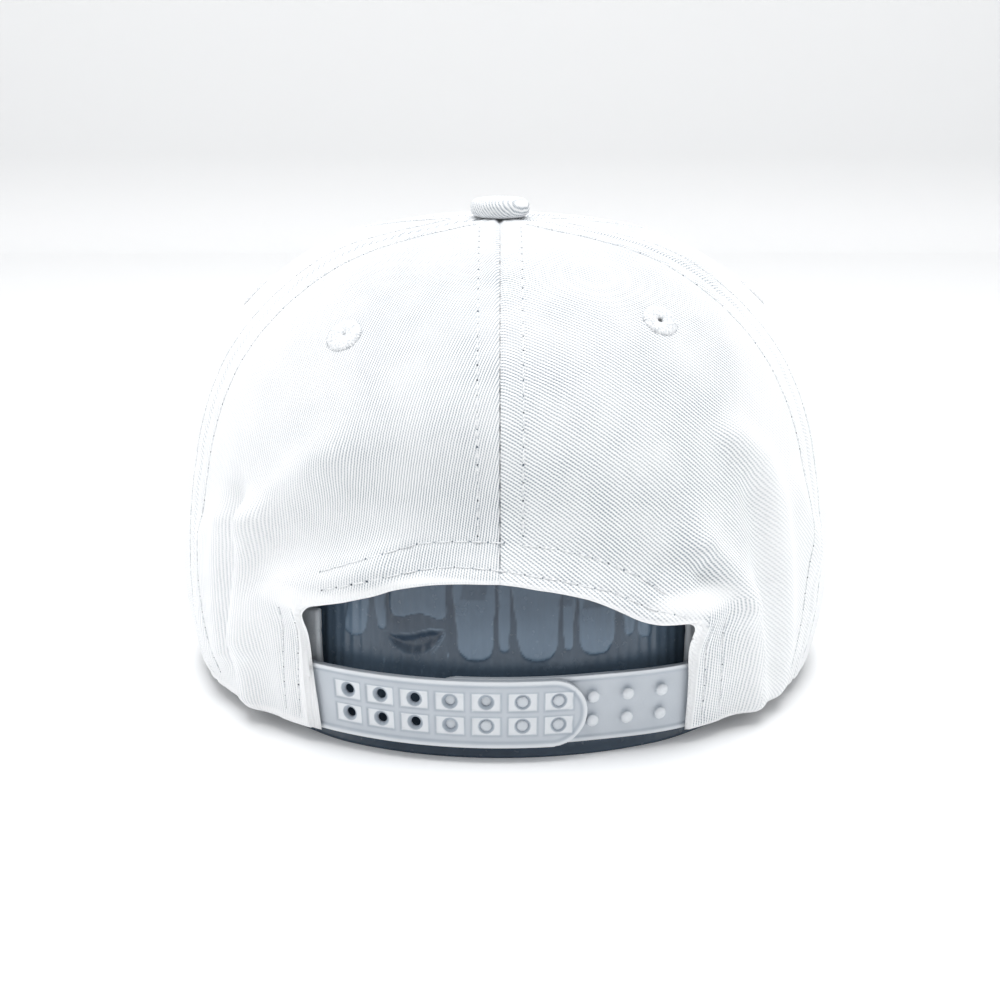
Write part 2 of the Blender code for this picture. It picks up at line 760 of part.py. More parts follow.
def strap_faces(first, tab_end, snap_faces, bead):
    """A strap laid flat, as faces of points of length, height and depth. first is the length of its
    first column of snaps, and its round end is past the last one, away from tab_end."""
    half = STRAP_HEIGHT / 2
    snaps_end = first + SNAP_COLUMNS * SNAP_PITCH - SNAP_PITCH / 2
    left = first - SNAP_PITCH / 2
    round_end = first + (SNAP_COLUMNS - 1) * SNAP_PITCH + END_REACH
    marks = cell_marks(left, SNAP_COLUMNS, SNAP_PITCH)
    tab = [tab_end + (left - tab_end) * k / 3 for k in range(3)]
    past = [round_end - STRAP_EDGE, round_end]
    lengths = tab + marks + past
    rows = cell_marks(-SNAP_ROW, 2, SNAP_ROW)
    heights = [-half, -half + STRAP_EDGE] + rows + [half - STRAP_EDGE, half]

    def over_snaps(length, height):
        return left <= length < snaps_end and -SNAP_ROW <= height < SNAP_ROW

    def front(i, j):
        at_edge = j in (0, len(heights) - 1) or i == len(lengths) - 1
        return Vector((lengths[i], heights[j], -bead if at_edge else 0.0))

    def back(i, j):
        return Vector((lengths[i], heights[j], STRAP_THICKNESS))

    cells = {(i, j) for i in range(len(lengths) - 1) for j in range(len(heights) - 1)}
    plain = {(i, j) for i, j in cells if not over_snaps(lengths[i], heights[j])}
    faces = walled(plain, front, back, edged=cells)
    for k in range(SNAP_COLUMNS):
        for row in (-SNAP_ROW / 2, SNAP_ROW / 2):
            faces += snap_faces(Vector((first + k * SNAP_PITCH, row, 0.0)))
    return faces, round_end


def rounded_end(point, round_end):
    """A point of the flat strap, drawn in so that the strap ends in a half circle."""
    half = STRAP_HEIGHT / 2
    along = (point.x - (round_end - half)) / half
    if along <= 0:
        return point
    up = point.y / half
    x = round_end - half + half * along * math.sqrt(1 - up * up / 2)
    return Vector((x, half * up * math.sqrt(1 - along * along / 2), point.z))


def strap(name, side, snap_faces, bead, layer_depth):
    """A strap laid along the track. side is that of its tab, and layer_depth(length) is how far it
    lies behind the track."""
    tab_end = -(abs(track_length(opening_angle(side))) + STRAP_LAP)
    middle_snapped = SNAP_SHIFT + (SNAPPED - 1) * SNAP_PITCH / 2
    past_middle = (SNAP_COLUMNS - (SNAPPED + 1) / 2) * SNAP_PITCH
    first = -side * middle_snapped - past_middle
    flat, round_end = strap_faces(first, tab_end, snap_faces, bead)

    def laid(point):
        point = rounded_end(point, round_end)
        length = point.x if side < 0 else -point.x
        spot = on_track(length)
        depth = layer_depth(length) + point.z - spot.lean * point.y
        x, y = spot.x - spot.out_x * depth, spot.y - spot.out_y * depth
        return Vector((x, y, STRAP_MIDDLE + point.y))

    faces = [[laid(corner) for corner in corners] for corners in flat]
    finished(name, closed_mesh(name, faces), STRAP_GREY, 0.4)


def snap_strap():
    edge = track_length(opening_angle(1))
    holes_end = SNAP_SHIFT + (SNAPPED - 1) * SNAP_PITCH + END_REACH

    def behind(length):
        return strap_layer() * (1 - step(holes_end, edge, length))

    strap("strap_holes", -1, hole_faces, STRAP_BEAD, lambda length: 0.0)
    strap("strap_pegs", 1, peg_faces, 0.0, behind)


def main():
    clear_scene()
    crown_panels()
    button()
    eyelets()
    sweatband()
    peak()
    snap_strap()
    crown_insert()


main()
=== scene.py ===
"""Finishes the snapback cap and its crown insert for the camera: twill panels with folds and stitching,
the moulded snap strap, the fluted insert, and a pale studio round them.

The back of the cap faces -Y, its peak points to +Y and +X is on the right as seen from behind. Angles run
round the crown from the middle of the back, positive towards +X, and rise runs up it from the rim, at 0, to
the button, at 1.
"""

import math
from collections import namedtuple

import bpy
import numpy as np
from bpy.props import FloatProperty, FloatVectorProperty, PointerProperty
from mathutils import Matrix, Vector


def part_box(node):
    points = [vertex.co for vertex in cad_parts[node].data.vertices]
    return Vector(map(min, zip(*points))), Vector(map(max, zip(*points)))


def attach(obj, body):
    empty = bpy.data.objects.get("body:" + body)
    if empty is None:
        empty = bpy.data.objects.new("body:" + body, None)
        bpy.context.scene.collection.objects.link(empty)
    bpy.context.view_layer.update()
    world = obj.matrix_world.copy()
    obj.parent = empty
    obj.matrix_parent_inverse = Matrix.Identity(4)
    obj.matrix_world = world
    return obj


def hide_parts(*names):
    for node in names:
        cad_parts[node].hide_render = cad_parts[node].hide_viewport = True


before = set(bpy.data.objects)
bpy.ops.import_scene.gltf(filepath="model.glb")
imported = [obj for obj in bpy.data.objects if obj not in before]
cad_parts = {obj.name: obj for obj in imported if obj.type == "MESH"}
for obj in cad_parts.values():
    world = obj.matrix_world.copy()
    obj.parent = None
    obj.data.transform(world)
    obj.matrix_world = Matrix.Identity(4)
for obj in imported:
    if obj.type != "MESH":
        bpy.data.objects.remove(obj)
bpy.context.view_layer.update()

bl_info = {
    "name": "Snapback Cap",
    "version": (1, 0, 0),
    "blender": (4, 5, 0),
    "location": "3D View > Sidebar > Cap",
    "description": "Builds a snapback cap on its crown insert, piece by piece",
    "category": "Add Mesh",
}

MM = 0.001
BODY = "root"

# Crown, as in the part's source
HALF_LEFT, HALF_RIGHT = 87.5 * MM, 90.5 * MM
BACK_REACH, FRONT_REACH = 94.5 * MM, 104.0 * MM
CROWN_HEIGHT, RIM_LIFT, FRONT_ARCH = 120.0 * MM, 4.0 * MM, 5.0 * MM
TOP_LIFT = 1.5 * MM
CLOTH, FRONT_CLOTH, GAP = 1.3 * MM, 2.0 * MM, 0.3 * MM
OPENING_WIDTH, ARCH_HEIGHT = 96.0 * MM, 44.0 * MM
FOLD_HEIGHT, FOLD_WIDTH = 3.0 * MM, 10.0 * MM

Section = namedtuple(
    "Section", "back_height side_height front_height back_reach side_reach front_reach")
SECTIONS = (
    Section(0.000, 0.000, 0.000, 1.000, 1.000, 1.000),
    Section(0.150, 0.150, 0.150, 1.015, 1.040, 0.990),
    Section(0.310, 0.310, 0.320, 1.015, 1.040, 0.975),
    Section(0.460, 0.470, 0.490, 0.985, 1.015, 0.950),
    Section(0.610, 0.620, 0.660, 0.920, 0.965, 0.915),
    Section(0.750, 0.755, 0.800, 0.805, 0.875, 0.840),
    Section(0.865, 0.868, 0.905, 0.640, 0.725, 0.700),
    Section(0.945, 0.947, 0.965, 0.435, 0.535, 0.490),
    Section(0.987, 0.988, 0.992, 0.210, 0.250, 0.240),
    Section(1.000, 1.000, 1.000, 0.000, 0.000, 0.000),
)
SEAM_DEGREES = (62, 65.5, 67, 63.5, 57)

# Top edge of the opening as shares of its height, in even steps from the middle to the tabs
Arch = namedtuple("Arch", "left right")
ARCH = (
    Arch(1.000, 1.000), Arch(1.000, 0.988), Arch(1.000, 0.969), Arch(0.995, 0.952),
    Arch(0.985, 0.929), Arch(0.967, 0.900), Arch(0.944, 0.858), Arch(0.906, 0.808),
    Arch(0.876, 0.758), Arch(0.846, 0.730), Arch(0.823, 0.720), Arch(0.800, 0.712),
    Arch(0.780, 0.705),
)
CORNERS = {-1: 3.4 * MM, 1: 2.6 * MM}

# How far each tab reaches into the opening, in degrees, at these rises
TabEdge = namedtuple("TabEdge", "rise left right")
TAB_EDGES = (
    TabEdge(0.00, 1.6, 0.35),
    TabEdge(0.05, 1.45, 0.5),
    TabEdge(0.10, 1.15, 0.8),
    TabEdge(0.15, 0.85, 1.35),
    TabEdge(0.19, 0.9, 1.6),
    TabEdge(0.25, 0.4, 0.8),
    TabEdge(0.32, 0.0, 0.0),
)

Fold = namedtuple("Fold", "height width route")
FOLDS = (
    Fold(0.80, 0.70, ((-31, 0.42), (-37, 0.385), (-45, 0.31))),
    Fold(1.00, 0.50, ((-45, 0.31), (-47, 0.18), (-48, 0.03))),
    Fold(-0.90, 0.45, ((-51, 0.33), (-51, 0.22), (-52, 0.06))),
    Fold(0.50, 0.40, ((-55, 0.29), (-56, 0.08))),
    Fold(0.40, 0.50, ((-61, 0.25), (-62, 0.06))),
    Fold(-0.80, 1.50, ((-36, 0.33), (-17, 0.385), (-4, 0.37))),
    Fold(0.45, 1.30, ((-28, 0.45), (-10, 0.49))),
    Fold(0.85, 0.55, ((-45, 0.13), (-42, 0.19), (-38, 0.22), (-30, 0.25), (-20, 0.28))),
    Fold(0.80, 0.55, ((-32, 0.20), (-17, 0.25), (0, 0.265), (12, 0.24), (22, 0.20), (32, 0.18))),
    Fold(-0.40, 1.40, ((5, 0.36), (18, 0.35), (30, 0.30))),
    Fold(0.95, 0.50, ((34, 0.29), (41, 0.21), (45, 0.12), (47, 0.02))),
    Fold(-0.60, 0.40, ((33, 0.25), (38, 0.215))),
    Fold(-0.80, 0.50, ((46, 0.34), (47, 0.21), (50, 0.07))),
    Fold(0.75, 0.55, ((44, 0.44), (49, 0.396), (51, 0.33), (52, 0.18), (54, 0.03))),
    Fold(0.50, 0.60, ((58, 0.33), (61, 0.27), (65, 0.22))),
    Fold(0.40, 0.60, ((33, 0.33), (30, 0.29), (30, 0.25))),
    Fold(0.60, 0.50, ((26, 0.21), (33, 0.21), (41, 0.19))),
)
DEEPEST_FOLD = max(-fold.height for fold in FOLDS)
RIDGE = 1.35  # how much further the finished cloth's ridges stand out

# Each eyelet's panel, place and, in millimetres, the radius of its hole
Eyelet = namedtuple("Eyelet", "panel degrees height bore")
EYELETS = (
    Eyelet("panel_back_left", -36.7, 0.81, 0.45),
    Eyelet("panel_back_right", 38.7, 0.835, 0.9),
    Eyelet("panel_side_left", -93.0, 0.82, 1.1),
    Eyelet("panel_side_right", 93.0, 0.82, 1.1),
    Eyelet("panel_front_left", -147.0, 0.85, 1.1),
    Eyelet("panel_front_right", 147.0, 0.85, 1.1),
)

EYELET_RADIUS, COLLAR_RADIUS = 4.8 * MM, 2.1 * MM

# Rows of stitching round the opening, as pairs of degrees and rise
ARCH_ROWS = (
    ((-29, 0.262), (-19.5, 0.297), (-12.9, 0.320), (-6.4, 0.325), (0, 0.324), (9.3, 0.312),
     (15.6, 0.293), (22.5, 0.259), (25.9, 0.231)),
    ((-28, 0.238), (-17.7, 0.268), (-11.1, 0.284), (-6.3, 0.288), (0, 0.284), (9.2, 0.267),
     (17.2, 0.245), (22.9, 0.215), (28.5, 0.200)),
)
TAB_ROWS = (
    ((-37.2, 0.195), (-38.0, 0.10), (-38.8, 0.02)),
    ((-34.0, 0.200), (-34.8, 0.10), (-35.6, 0.02)),
    ((33.6, 0.175), (34.1, 0.10), (34.6, 0.02)),
    ((36.8, 0.180), (37.6, 0.10), (38.4, 0.02)),
)

# Strap and insert
STRAP_HEIGHT, STRAP_THICKNESS, STRAP_MIDDLE = 18.0 * MM, 1.7 * MM, 13.4 * MM
STRAP_LAP, STRAP_EDGE, STRAP_BEAD = 10.0 * MM, 1.2 * MM, 0.3 * MM
SNAP_PITCH, SNAP_ROW, SNAP_COLUMNS, SNAPPED = 9.1 * MM, 6.5 * MM, 7, 4
SNAP_SHIFT, END_REACH = -12.55 * MM, 7.2 * MM
BAND_HEIGHT, BAND_THICKNESS, BAND_SHOWS, BAND_SLACK = 32.0 * MM, 1.5 * MM, -1.1 * MM, 0.2 * MM
INSERT_HEIGHT, INSERT_WALL, FLUTES, FLUTE_DEPTH = 62.0 * MM, 1.0 * MM, 36, 2.2 * MM
PEAK_LENGTH, PEAK_WIDTH, PEAK_SQUARENESS = 70.0 * MM, 170.0 * MM, 2.35
PEAK_HALF_ANGLE, PEAK_THICKNESS, PEAK_DROP = math.radians(66), 3.0 * MM, 1.4 * MM


# Shape of the crown, worked out for whole arrays of angles and rises at once

def smooth(values, place, mirror=1):
    """A smooth curve through even steps of values, mirrored past its last one."""
    last = len(values) - 1
    knots = np.array([2 * values[0] - values[1], *values, mirror * values[last - 1]])
    at = np.clip(place, 0.0, 1.0) * last
    i = np.minimum(at.astype(int), last - 1)
    u = at - i
    a, b, c, d = (knots[i + k] for k in range(4))
    return 0.5 * (2 * b + (c - a) * u + (2 * a - 5 * b + 4 * c - d) * u ** 2
                  + (3 * (b - c) + d - a) * u ** 3)


def step(low, high, value):
    """0 up to low, 1 from high, and a smooth step between."""
    part = np.clip((value - low) / (high - low), 0.0, 1.0)
    return part * part * (3 - 2 * part)


def bump(value, width):
    return np.exp(-(value / width) ** 2)


def unit(vectors):
    return vectors / np.maximum(np.linalg.norm(vectors, axis=-1, keepdims=True), 1e-12)


HEIGHTS = [[getattr(s, side + "_height") for s in SECTIONS] for side in ("back", "side", "front")]
REACHES = [[getattr(s, side + "_reach") for s in SECTIONS] for side in ("back", "side", "front")]


def crown_base(angle, rise):
    """Outer face of the crown without its folds."""
    angle, rise = np.broadcast_arrays(np.asarray(angle, float), np.asarray(rise, float))
    behind = np.cos(angle) > 0
    along = np.cos(angle) ** 2

    def round_crown(back, side, front):
        return side * (1 - along) + np.where(behind, back, front) * along

    height = round_crown(*(smooth(values, rise) for values in HEIGHTS))
    share = round_crown(*(smooth(values, rise, -1) for values in REACHES))
    half = np.where(np.sin(angle) > 0, HALF_RIGHT, HALF_LEFT)
    reach = np.where(behind, BACK_REACH, FRONT_REACH)
    arch = FRONT_ARCH * np.maximum(0.0, -np.cos(angle)) ** 2
    return np.stack([
        half * share * np.sin(angle),
        -reach * share * np.cos(angle),
        RIM_LIFT + CROWN_HEIGHT * height + arch * (1 - height) + TOP_LIFT * step(0.6, 1.0, height),
    ], axis=-1)


def crown_out(angle, rise):
    """Unit vectors out of the crown."""
    nudge = 0.002
    across = crown_base(angle + nudge, rise) - crown_base(angle - nudge, rise)
    low = np.clip(rise - nudge, 0.0, 1.0 - 2 * nudge)
    up = crown_base(angle, low + 2 * nudge) - crown_base(angle, low)
    return unit(np.cross(across, up))


def flat_place(angle, rise):
    around = (BACK_REACH + HALF_RIGHT) / 2
    slope = CROWN_HEIGHT + BACK_REACH / 2
    return np.stack(np.broadcast_arrays(angle * around, rise * slope), axis=-1)


def distance_to_route(points, route):
    """From each point to the nearest of the lines between the points of a route."""
    nearest = np.full(points.shape[:-1], np.inf)
    for a, b in zip(route, route[1:]):
        line = b - a
        part = np.clip(((points - a) @ line) / (line @ line), 0.0, 1.0)
        gap = np.linalg.norm(points - a - part[..., None] * line, axis=-1)
        nearest = np.minimum(nearest, gap)
    return nearest


def flat_route(route):
    return [flat_place(math.radians(degrees), up) for degrees, up in route]


def fold_out(angle, rise):
    """How far the folds push the cloth out."""
    points = flat_place(angle, rise)
    total = np.zeros(points.shape[:-1])
    for fold in FOLDS:
        height = fold.height * (RIDGE if fold.height > 0 else 1.0)
        apart = distance_to_route(points, flat_route(fold.route))
        total += height * bump(apart, fold.width * FOLD_WIDTH)
    return FOLD_HEIGHT * total


RISES = np.linspace(0.0, 1.0, 801)
RISE_HEIGHTS = CROWN_HEIGHT * smooth(HEIGHTS[0], RISES)


def rise_at(height):
    """The rise at which the back of the crown is this high over the rim."""
    return np.interp(height, RISE_HEIGHTS, RISES)


def seam_angle(rise):
    return np.radians(smooth(SEAM_DEGREES, np.asarray(rise, float)))


def opening_angle(side):
    """Angle of the side edge of the opening."""
    return side * math.asin(OPENING_WIDTH / 2 / (HALF_RIGHT if side > 0 else HALF_LEFT))


def arch_rise(angle):
    """Rise of the opening's top edge."""
    angle = np.asarray(angle, float)
    rises = []
    for side, column in ((-1, 0), (1, 1)):
        share = np.minimum(angle / opening_angle(side), 1.0)
        corner = CORNERS[side]
        into = np.clip(corner - (1 - share) * OPENING_WIDTH / 2, 0.0, corner)
        drop = corner - np.sqrt(corner ** 2 - into ** 2)
        height = ARCH_HEIGHT * smooth([row[column] for row in ARCH], share)
        rises.append(rise_at(height - drop))
    return np.where(angle > 0, rises[1], rises[0])


# Layers under the crown

STRAP_INSET = CLOTH + GAP
STRAP_LAYER = STRAP_THICKNESS + GAP


def turned(angle):
    """The angle from the middle of the back, from minus half a turn to half a turn."""
    return (np.asarray(angle, float) + math.pi) % math.tau - math.pi


def turn_of(angle):
    return np.abs(turned(angle))


def band_inset(angle):
    turn = turn_of(angle)
    room = max(STRAP_LAYER, DEEPEST_FOLD * FOLD_HEIGHT)
    at_tab = 1 - step(math.radians(56), math.radians(68), turn)
    at_front = step(math.radians(98), math.radians(111), turn)
    return CLOTH + GAP + BAND_SLACK + room * at_tab + (FRONT_CLOTH - CLOTH) * at_front


def insert_inset(angle):
    turn = turn_of(angle)
    beside_band = band_inset(angle) + BAND_THICKNESS + GAP
    behind_folds = 1.4 * MM * step(math.radians(28), math.radians(42), turn)
    behind_strap = STRAP_INSET + 2 * STRAP_LAYER + behind_folds
    return behind_strap + (beside_band - behind_strap) * step(
        math.radians(66), math.radians(82), turn)


def outline(angle, inset, rise=0.0):
    """The crown's outline seen from above, at the rim or higher, inset from the crown, and the
    level unit vectors out of it."""
    angle = np.asarray(angle, float)
    base = crown_base(angle, rise) * (1, 1, 0)
    out = unit(crown_out(angle, np.full(angle.shape, float(rise))) * (1, 1, 0))
    return base - out * np.asarray(inset)[..., None], out


# Meshes

def deselect():
    for obj in list(bpy.context.selected_objects):
        obj.select_set(False)


def make_active(obj):
    deselect()
    obj.select_set(True)
    bpy.context.view_layer.objects.active = obj


def select_edges(obj, chosen):
    """Opens edit mode with the edges selected whose two ends chosen(a, b) picks."""
    make_active(obj)
    bpy.ops.object.mode_set(mode="EDIT")
    bpy.ops.mesh.select_mode(type="EDGE")
    bpy.ops.mesh.select_all(action="DESELECT")
    bpy.ops.object.mode_set(mode="OBJECT")
    for line in obj.data.edges:
        line.select = chosen(*(obj.data.vertices[v].co for v in line.vertices))
    bpy.ops.object.mode_set(mode="EDIT")


def apply_modifier(obj, kind, **settings):
    make_active(obj)
    modifier = obj.modifiers.new(kind.lower(), kind)
    for name, value in settings.items():
        setattr(modifier, name, value)
    bpy.ops.object.modifier_apply(modifier=modifier.name)


def settled(obj):
    """Puts the object's place into its mesh."""
    make_active(obj)
    bpy.ops.object.transform_apply(location=True, rotation=True, scale=True)
    return obj


def rounded(to_edge, soft):
    """How near a soft edge is, from 0 to 1, and how far its round takes the face in."""
    near = np.clip(1 - to_edge / soft, 0.0, 1.0)
    return near, soft * (1 - np.sqrt(1 - near ** 2))


def lengths_along(points):
    return np.concatenate([[0.0], np.cumsum(np.linalg.norm(np.diff(points, axis=0), axis=1))])


def joined(objects, name):
    deselect()
    for obj in objects:
        obj.select_set(True)
    bpy.context.view_layer.objects.active = objects[0]
    if len(objects) > 1:
        bpy.ops.object.join()
    made = objects[0]
    made.name = made.data.name = name
    return made


def mesh_piece(name, points, faces):
    mesh = bpy.data.meshes.new(name)
    mesh.from_pydata(points, [], faces)
    mesh.validate()
    mesh.update()
    obj = bpy.data.objects.new(name, mesh)
    bpy.context.scene.collection.objects.link(obj)
    mesh.shade_smooth()
    return obj


def points_of(obj):
    flat = np.empty(len(obj.data.vertices) * 3)
    obj.data.vertices.foreach_get("co", flat)
    return flat.reshape(-1, 3)


def move_points(obj, points):
    obj.data.vertices.foreach_set("co", np.ascontiguousarray(points, float).ravel())
    obj.data.update()


def shade_by_angle(obj, degrees):
    make_active(obj)
    bpy.ops.object.shade_smooth_by_angle(angle=math.radians(degrees))


def as_piece(obj, finish, slot, *nodes):
    """Gives a finished object its material, parents it to the body's empty and hides the nodes it stands
    for.
    """
    obj.data.materials.clear()
    obj.data.materials.append(finish)
    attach(obj, BODY)
    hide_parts(*nodes)
    return obj


def uneven(count, fine_start=0.0, fine_end=0.0, reach=0.12):
    """Shares from 0 to 1 in count steps, closer together at the ends."""
    middle = (np.arange(count) + 0.5) / count
    size = 1 - fine_start * np.exp(-middle / reach) - fine_end * np.exp(-(1 - middle) / reach)
    return np.concatenate([[0.0], np.cumsum(size) / size.sum()])


def walled_grid(name, outer, inner, cells, uv=None, around=False, worn=None):
    """A wall between two grids of points, over the cells that are set. uv gives each point of a grid
    its place on the cloth, and worn a number for each point of both, which marks
    wear, painted highlights and painted shade."""
    rows, columns = outer.shape[:2]
    number = np.arange(rows * columns).reshape(rows, columns)
    count = rows * columns
    ii, jj = np.nonzero(cells)
    following = (ii + 1) % rows if around else ii + 1
    corners = np.stack([number[ii, jj], number[following, jj], number[following, jj + 1],
                        number[ii, jj + 1]], axis=1)
    faces = [corners, corners[:, ::-1] + count]
    padded = np.pad(cells, 1)
    if around:
        padded[0, 1:-1], padded[-1, 1:-1] = cells[-1], cells[0]
    beside = (padded[ii + 1, jj], padded[ii + 2, jj + 1], padded[ii + 1, jj + 2], padded[ii, jj + 1])
    for k, neighbour in enumerate(beside):
        a, b = corners[~neighbour, k], corners[~neighbour, (k + 1) % 4]
        faces.append(np.stack([b, a, a + count, b + count], axis=1))
    points = np.concatenate([outer.reshape(-1, 3), inner.reshape(-1, 3)])
    used, faces = np.unique(np.concatenate(faces), return_inverse=True)
    obj = mesh_piece(name, points[used].tolist(), faces.reshape(-1, 4).tolist())
    if uv is not None:
        lay_map(obj, np.concatenate([uv.reshape(-1, 2)] * 2)[used])
    if worn is not None:
        store(obj, "worn", worn[used])
    return obj


def lay_map(obj, flat):
    """Gives a mesh its cloth map, from the place of each point on the cloth."""
    layer = obj.data.uv_layers.get("cloth") or obj.data.uv_layers.new(name="cloth")
    loops = np.empty(len(obj.data.loops), int)
    obj.data.loops.foreach_get("vertex_index", loops)
    layer.data.foreach_set("uv", flat[loops].ravel())
    layer.active = True


def store(obj, name, values):
    """Stores a number at each point of a mesh, for its material to read."""
    layer = obj.data.attributes.new(name, "FLOAT", "POINT")
    layer.data.foreach_set("value", np.asarray(values, np.float32))


# Materials

class Value:
    """A socket of a material. Sums and products of values add the Math nodes that work them out."""

    def __init__(self, finish, socket):
        self.finish, self.socket = finish, socket

    def math(self, operation, *others):
        return self.finish.node("Math", {"operation": operation}, self, *others)

    def __add__(self, other):
        return self.math("ADD", other)

    __radd__ = __add__

    def __mul__(self, other):
        return self.math("MULTIPLY", other)

    __rmul__ = __mul__

    def __sub__(self, other):
        return self.math("SUBTRACT", other)

    def __rsub__(self, other):
        return self.finish.node("Math", {"operation": "SUBTRACT"}, other, self)

    def __pow__(self, other):
        return self.math("POWER", other)

    def __abs__(self):
        return self.math("ABSOLUTE")

    def sine(self):
        return self.math("SINE")

    def between(self, low, high):
        """0 below low, 1 above high and a smooth step between."""
        return self.finish.node(
            "MapRange", {"interpolation_type": "SMOOTHSTEP"}, self, low, high, 0.0, 1.0)


class Finish:
    """A material that is built from its Principled shader back."""

    def __init__(self, name, **uniform):
        self.material = bpy.data.materials.new(name)
        self.material.use_nodes = True
        self.tree = self.material.node_tree
        self.shader = self.tree.nodes["Principled BSDF"]
        for socket, value in uniform.items():
            self.shader.inputs[socket.replace("_", " ")].default_value = value

    def node(self, kind, settings=None, *values, sockets=None, output=0, **named):
        """Adds a node, makes its settings, feeds its sockets and returns one of its outputs."""
        added = self.tree.nodes.new("ShaderNode" + kind)
        for name, value in (settings or {}).items():
            setattr(added, name, value)
        for socket, value in [*enumerate(values), *named.items(), *(sockets or {}).items()]:
            if isinstance(value, Value):
                self.tree.links.new(value.socket, added.inputs[socket])
            else:
                added.inputs[socket].default_value = value
        return Value(self, added.outputs[output])

    def feed(self, socket, value):
        self.tree.links.new(value.socket, self.shader.inputs[socket])

    def place(self):
        return self.node("TexCoord", output="Object")

    def along(self, axis):
        """Place along X, Y or Z, as 0, 1 or 2."""
        return self.node("SeparateXYZ", {}, self.place(), output=axis)

    def stored(self, name):
        """A number that is stored at the points of the mesh."""
        return self.node("Attribute", {"attribute_name": name}, output="Fac")

    def noise(self, size, detail=2.0):
        """Noise with features of this size, in metres."""
        return self.node("TexNoise", {}, Vector=self.place(), Scale=1 / size, Detail=detail)

    def mixed(self, factor, first, second):
        """A colour between two others."""
        sockets = {0: factor, 6: first, 7: second}
        return self.node("Mix", {"data_type": "RGBA"}, sockets=sockets, output=2)

    def raise_by(self, height, distance, strength=1.0):
        """Bumps the surface by a height from 0 to 1."""
        self.feed("Normal", self.node(
            "Bump", {}, Strength=strength, Distance=distance, Height=height))


def colour(values):
    return (*values, 1.0)


# Where the cloth swells out smoothly over each tab, and the twill is faded as a painted highlight: how far
# that is aside and up, and how far it reaches
SWELL_ASIDE, SWELL_UP, SWELL_WIDE, SWELL_HIGH = 48.5 * MM, 40.1 * MM, 15.0 * MM, 4.4 * MM


def twill_finish(name, cloth):
    """Cotton twill: raised wales along the cloth's own map, the floats of yarn in them, and a little
    unevenness of tone and fuzz. The valleys are painted in the shade colour, as painted shade in the
    weave's grooves. The pattern fades as the number stored as worn goes from 0 to 1,
    near the edges, as wear and as a painted highlight on the rolled lips, and from there to 2, on the
    inner side, the cloth is painted darker as painted shade. It also fades as a painted highlight over
    the swell at each tab, and the flanks are painted paler as painted light."""
    finish = Finish(name, Roughness=0.86, Sheen_Weight=0.25, Sheen_Roughness=0.5)
    cloth_map = finish.node("UVMap", {"uv_map": "cloth"})
    across = finish.node("SeparateXYZ", {}, cloth_map) * (1 / cloth.wale_pitch)
    along = finish.node("SeparateXYZ", {}, cloth_map, output=1) * (1 / cloth.float_length)
    waver = finish.noise(4 * MM, 1.0) * 0.35 + finish.noise(1.1 * MM, 1.0) * 0.3
    crest = ((across + waver) * math.tau).sine() * 0.5 + 0.5
    floats = ((along + across * 0.5) * math.tau).sine() * 0.5 + 0.5
    fuzz = finish.noise(0.35 * MM, 3.0)
    patches = finish.noise(14 * MM, 2.0)
    height = crest * 0.6 + floats * crest * 0.35 + fuzz * 0.3
    right, worn = finish.along(0), finish.stored("worn")
    # Far to either side the valleys are painted lighter, so the flanks are painted paler as painted light.
    painted_paler = (0.0 - right).between(18 * MM, 74 * MM) + right.between(52 * MM, 72 * MM) * 1.2
    aside = abs(right) * (1 / SWELL_WIDE) - SWELL_ASIDE / SWELL_WIDE
    up = finish.along(2) * (1 / SWELL_HIGH) - SWELL_UP / SWELL_HIGH
    behind = 1.0 - finish.along(1).between(-50 * MM, -20 * MM)
    # Over the swell at each tab the pattern fades, as a painted highlight.
    swell = behind * (1.0 - (aside * aside + up * up).between(0.0, 1.0))
    # The pattern fades near the edges, as wear and as a painted highlight, and over each tab's swell.
    pattern = (1.0 - 0.88 * swell) * (1.0 - 0.85 * worn.between(0.0, 1.0))
    # The valleys are painted in the shade colour, as painted shade in the weave's grooves.
    valley = (1.0 - crest) ** 1.35 * (0.50 + 0.50 * floats) * pattern
    depth = valley * (0.35 + 0.9 * patches) * (1.0 - 0.55 * painted_paler) * cloth.wale_contrast
    # Painted shade on the inner side of the cloth.
    depth = depth + 0.5 * worn.between(1.3, 2.0)
    finish.feed("Base Color", finish.mixed(depth, colour(cloth.white), colour(cloth.shade)))
    finish.raise_by(height, 0.16 * MM, 0.75)
    return finish.material


def band_finish(name, cloth):
    """Plain cotton of the sweatband: a fine flat weave with soft creases, tinted towards the shade colour
    as painted shade.
    """
    finish = Finish(name, Roughness=0.9, Sheen_Weight=0.2)
    weave = finish.noise(0.3 * MM, 2.0)
    # The whole band is tinted towards the shade colour, as painted shade.
    tone = weave * 0.25 + finish.noise(6 * MM, 2.0) * 0.25 + 0.3
    finish.feed("Base Color", finish.mixed(tone, colour(cloth.white), colour(cloth.shade)))
    finish.raise_by(weave, 0.08 * MM, 0.6)
    return finish.material


def thread_finish(name, cloth):
    finish = Finish(name, Roughness=0.7, Sheen_Weight=0.2)
    tone = finish.noise(0.5 * MM, 2.0).between(0.3, 0.75)
    finish.feed("Base Color", finish.mixed(tone * 0.5, colour(cloth.white), colour(cloth.shade)))
    finish.raise_by(finish.noise(0.12 * MM, 2.0), 0.05 * MM, 0.6)
    return finish.material


# Dark discs at the needle holes, painted as the shade in each hole.
def hole_shade_finish(name, cloth):
    finish = Finish(name, Roughness=0.9)
    tone = finish.noise(5 * MM, 2.0).between(0.4, 0.68)
    finish.feed("Base Color", finish.mixed(tone, colour(cloth.needle_hole_shade), colour(cloth.shade)))
    return finish.material


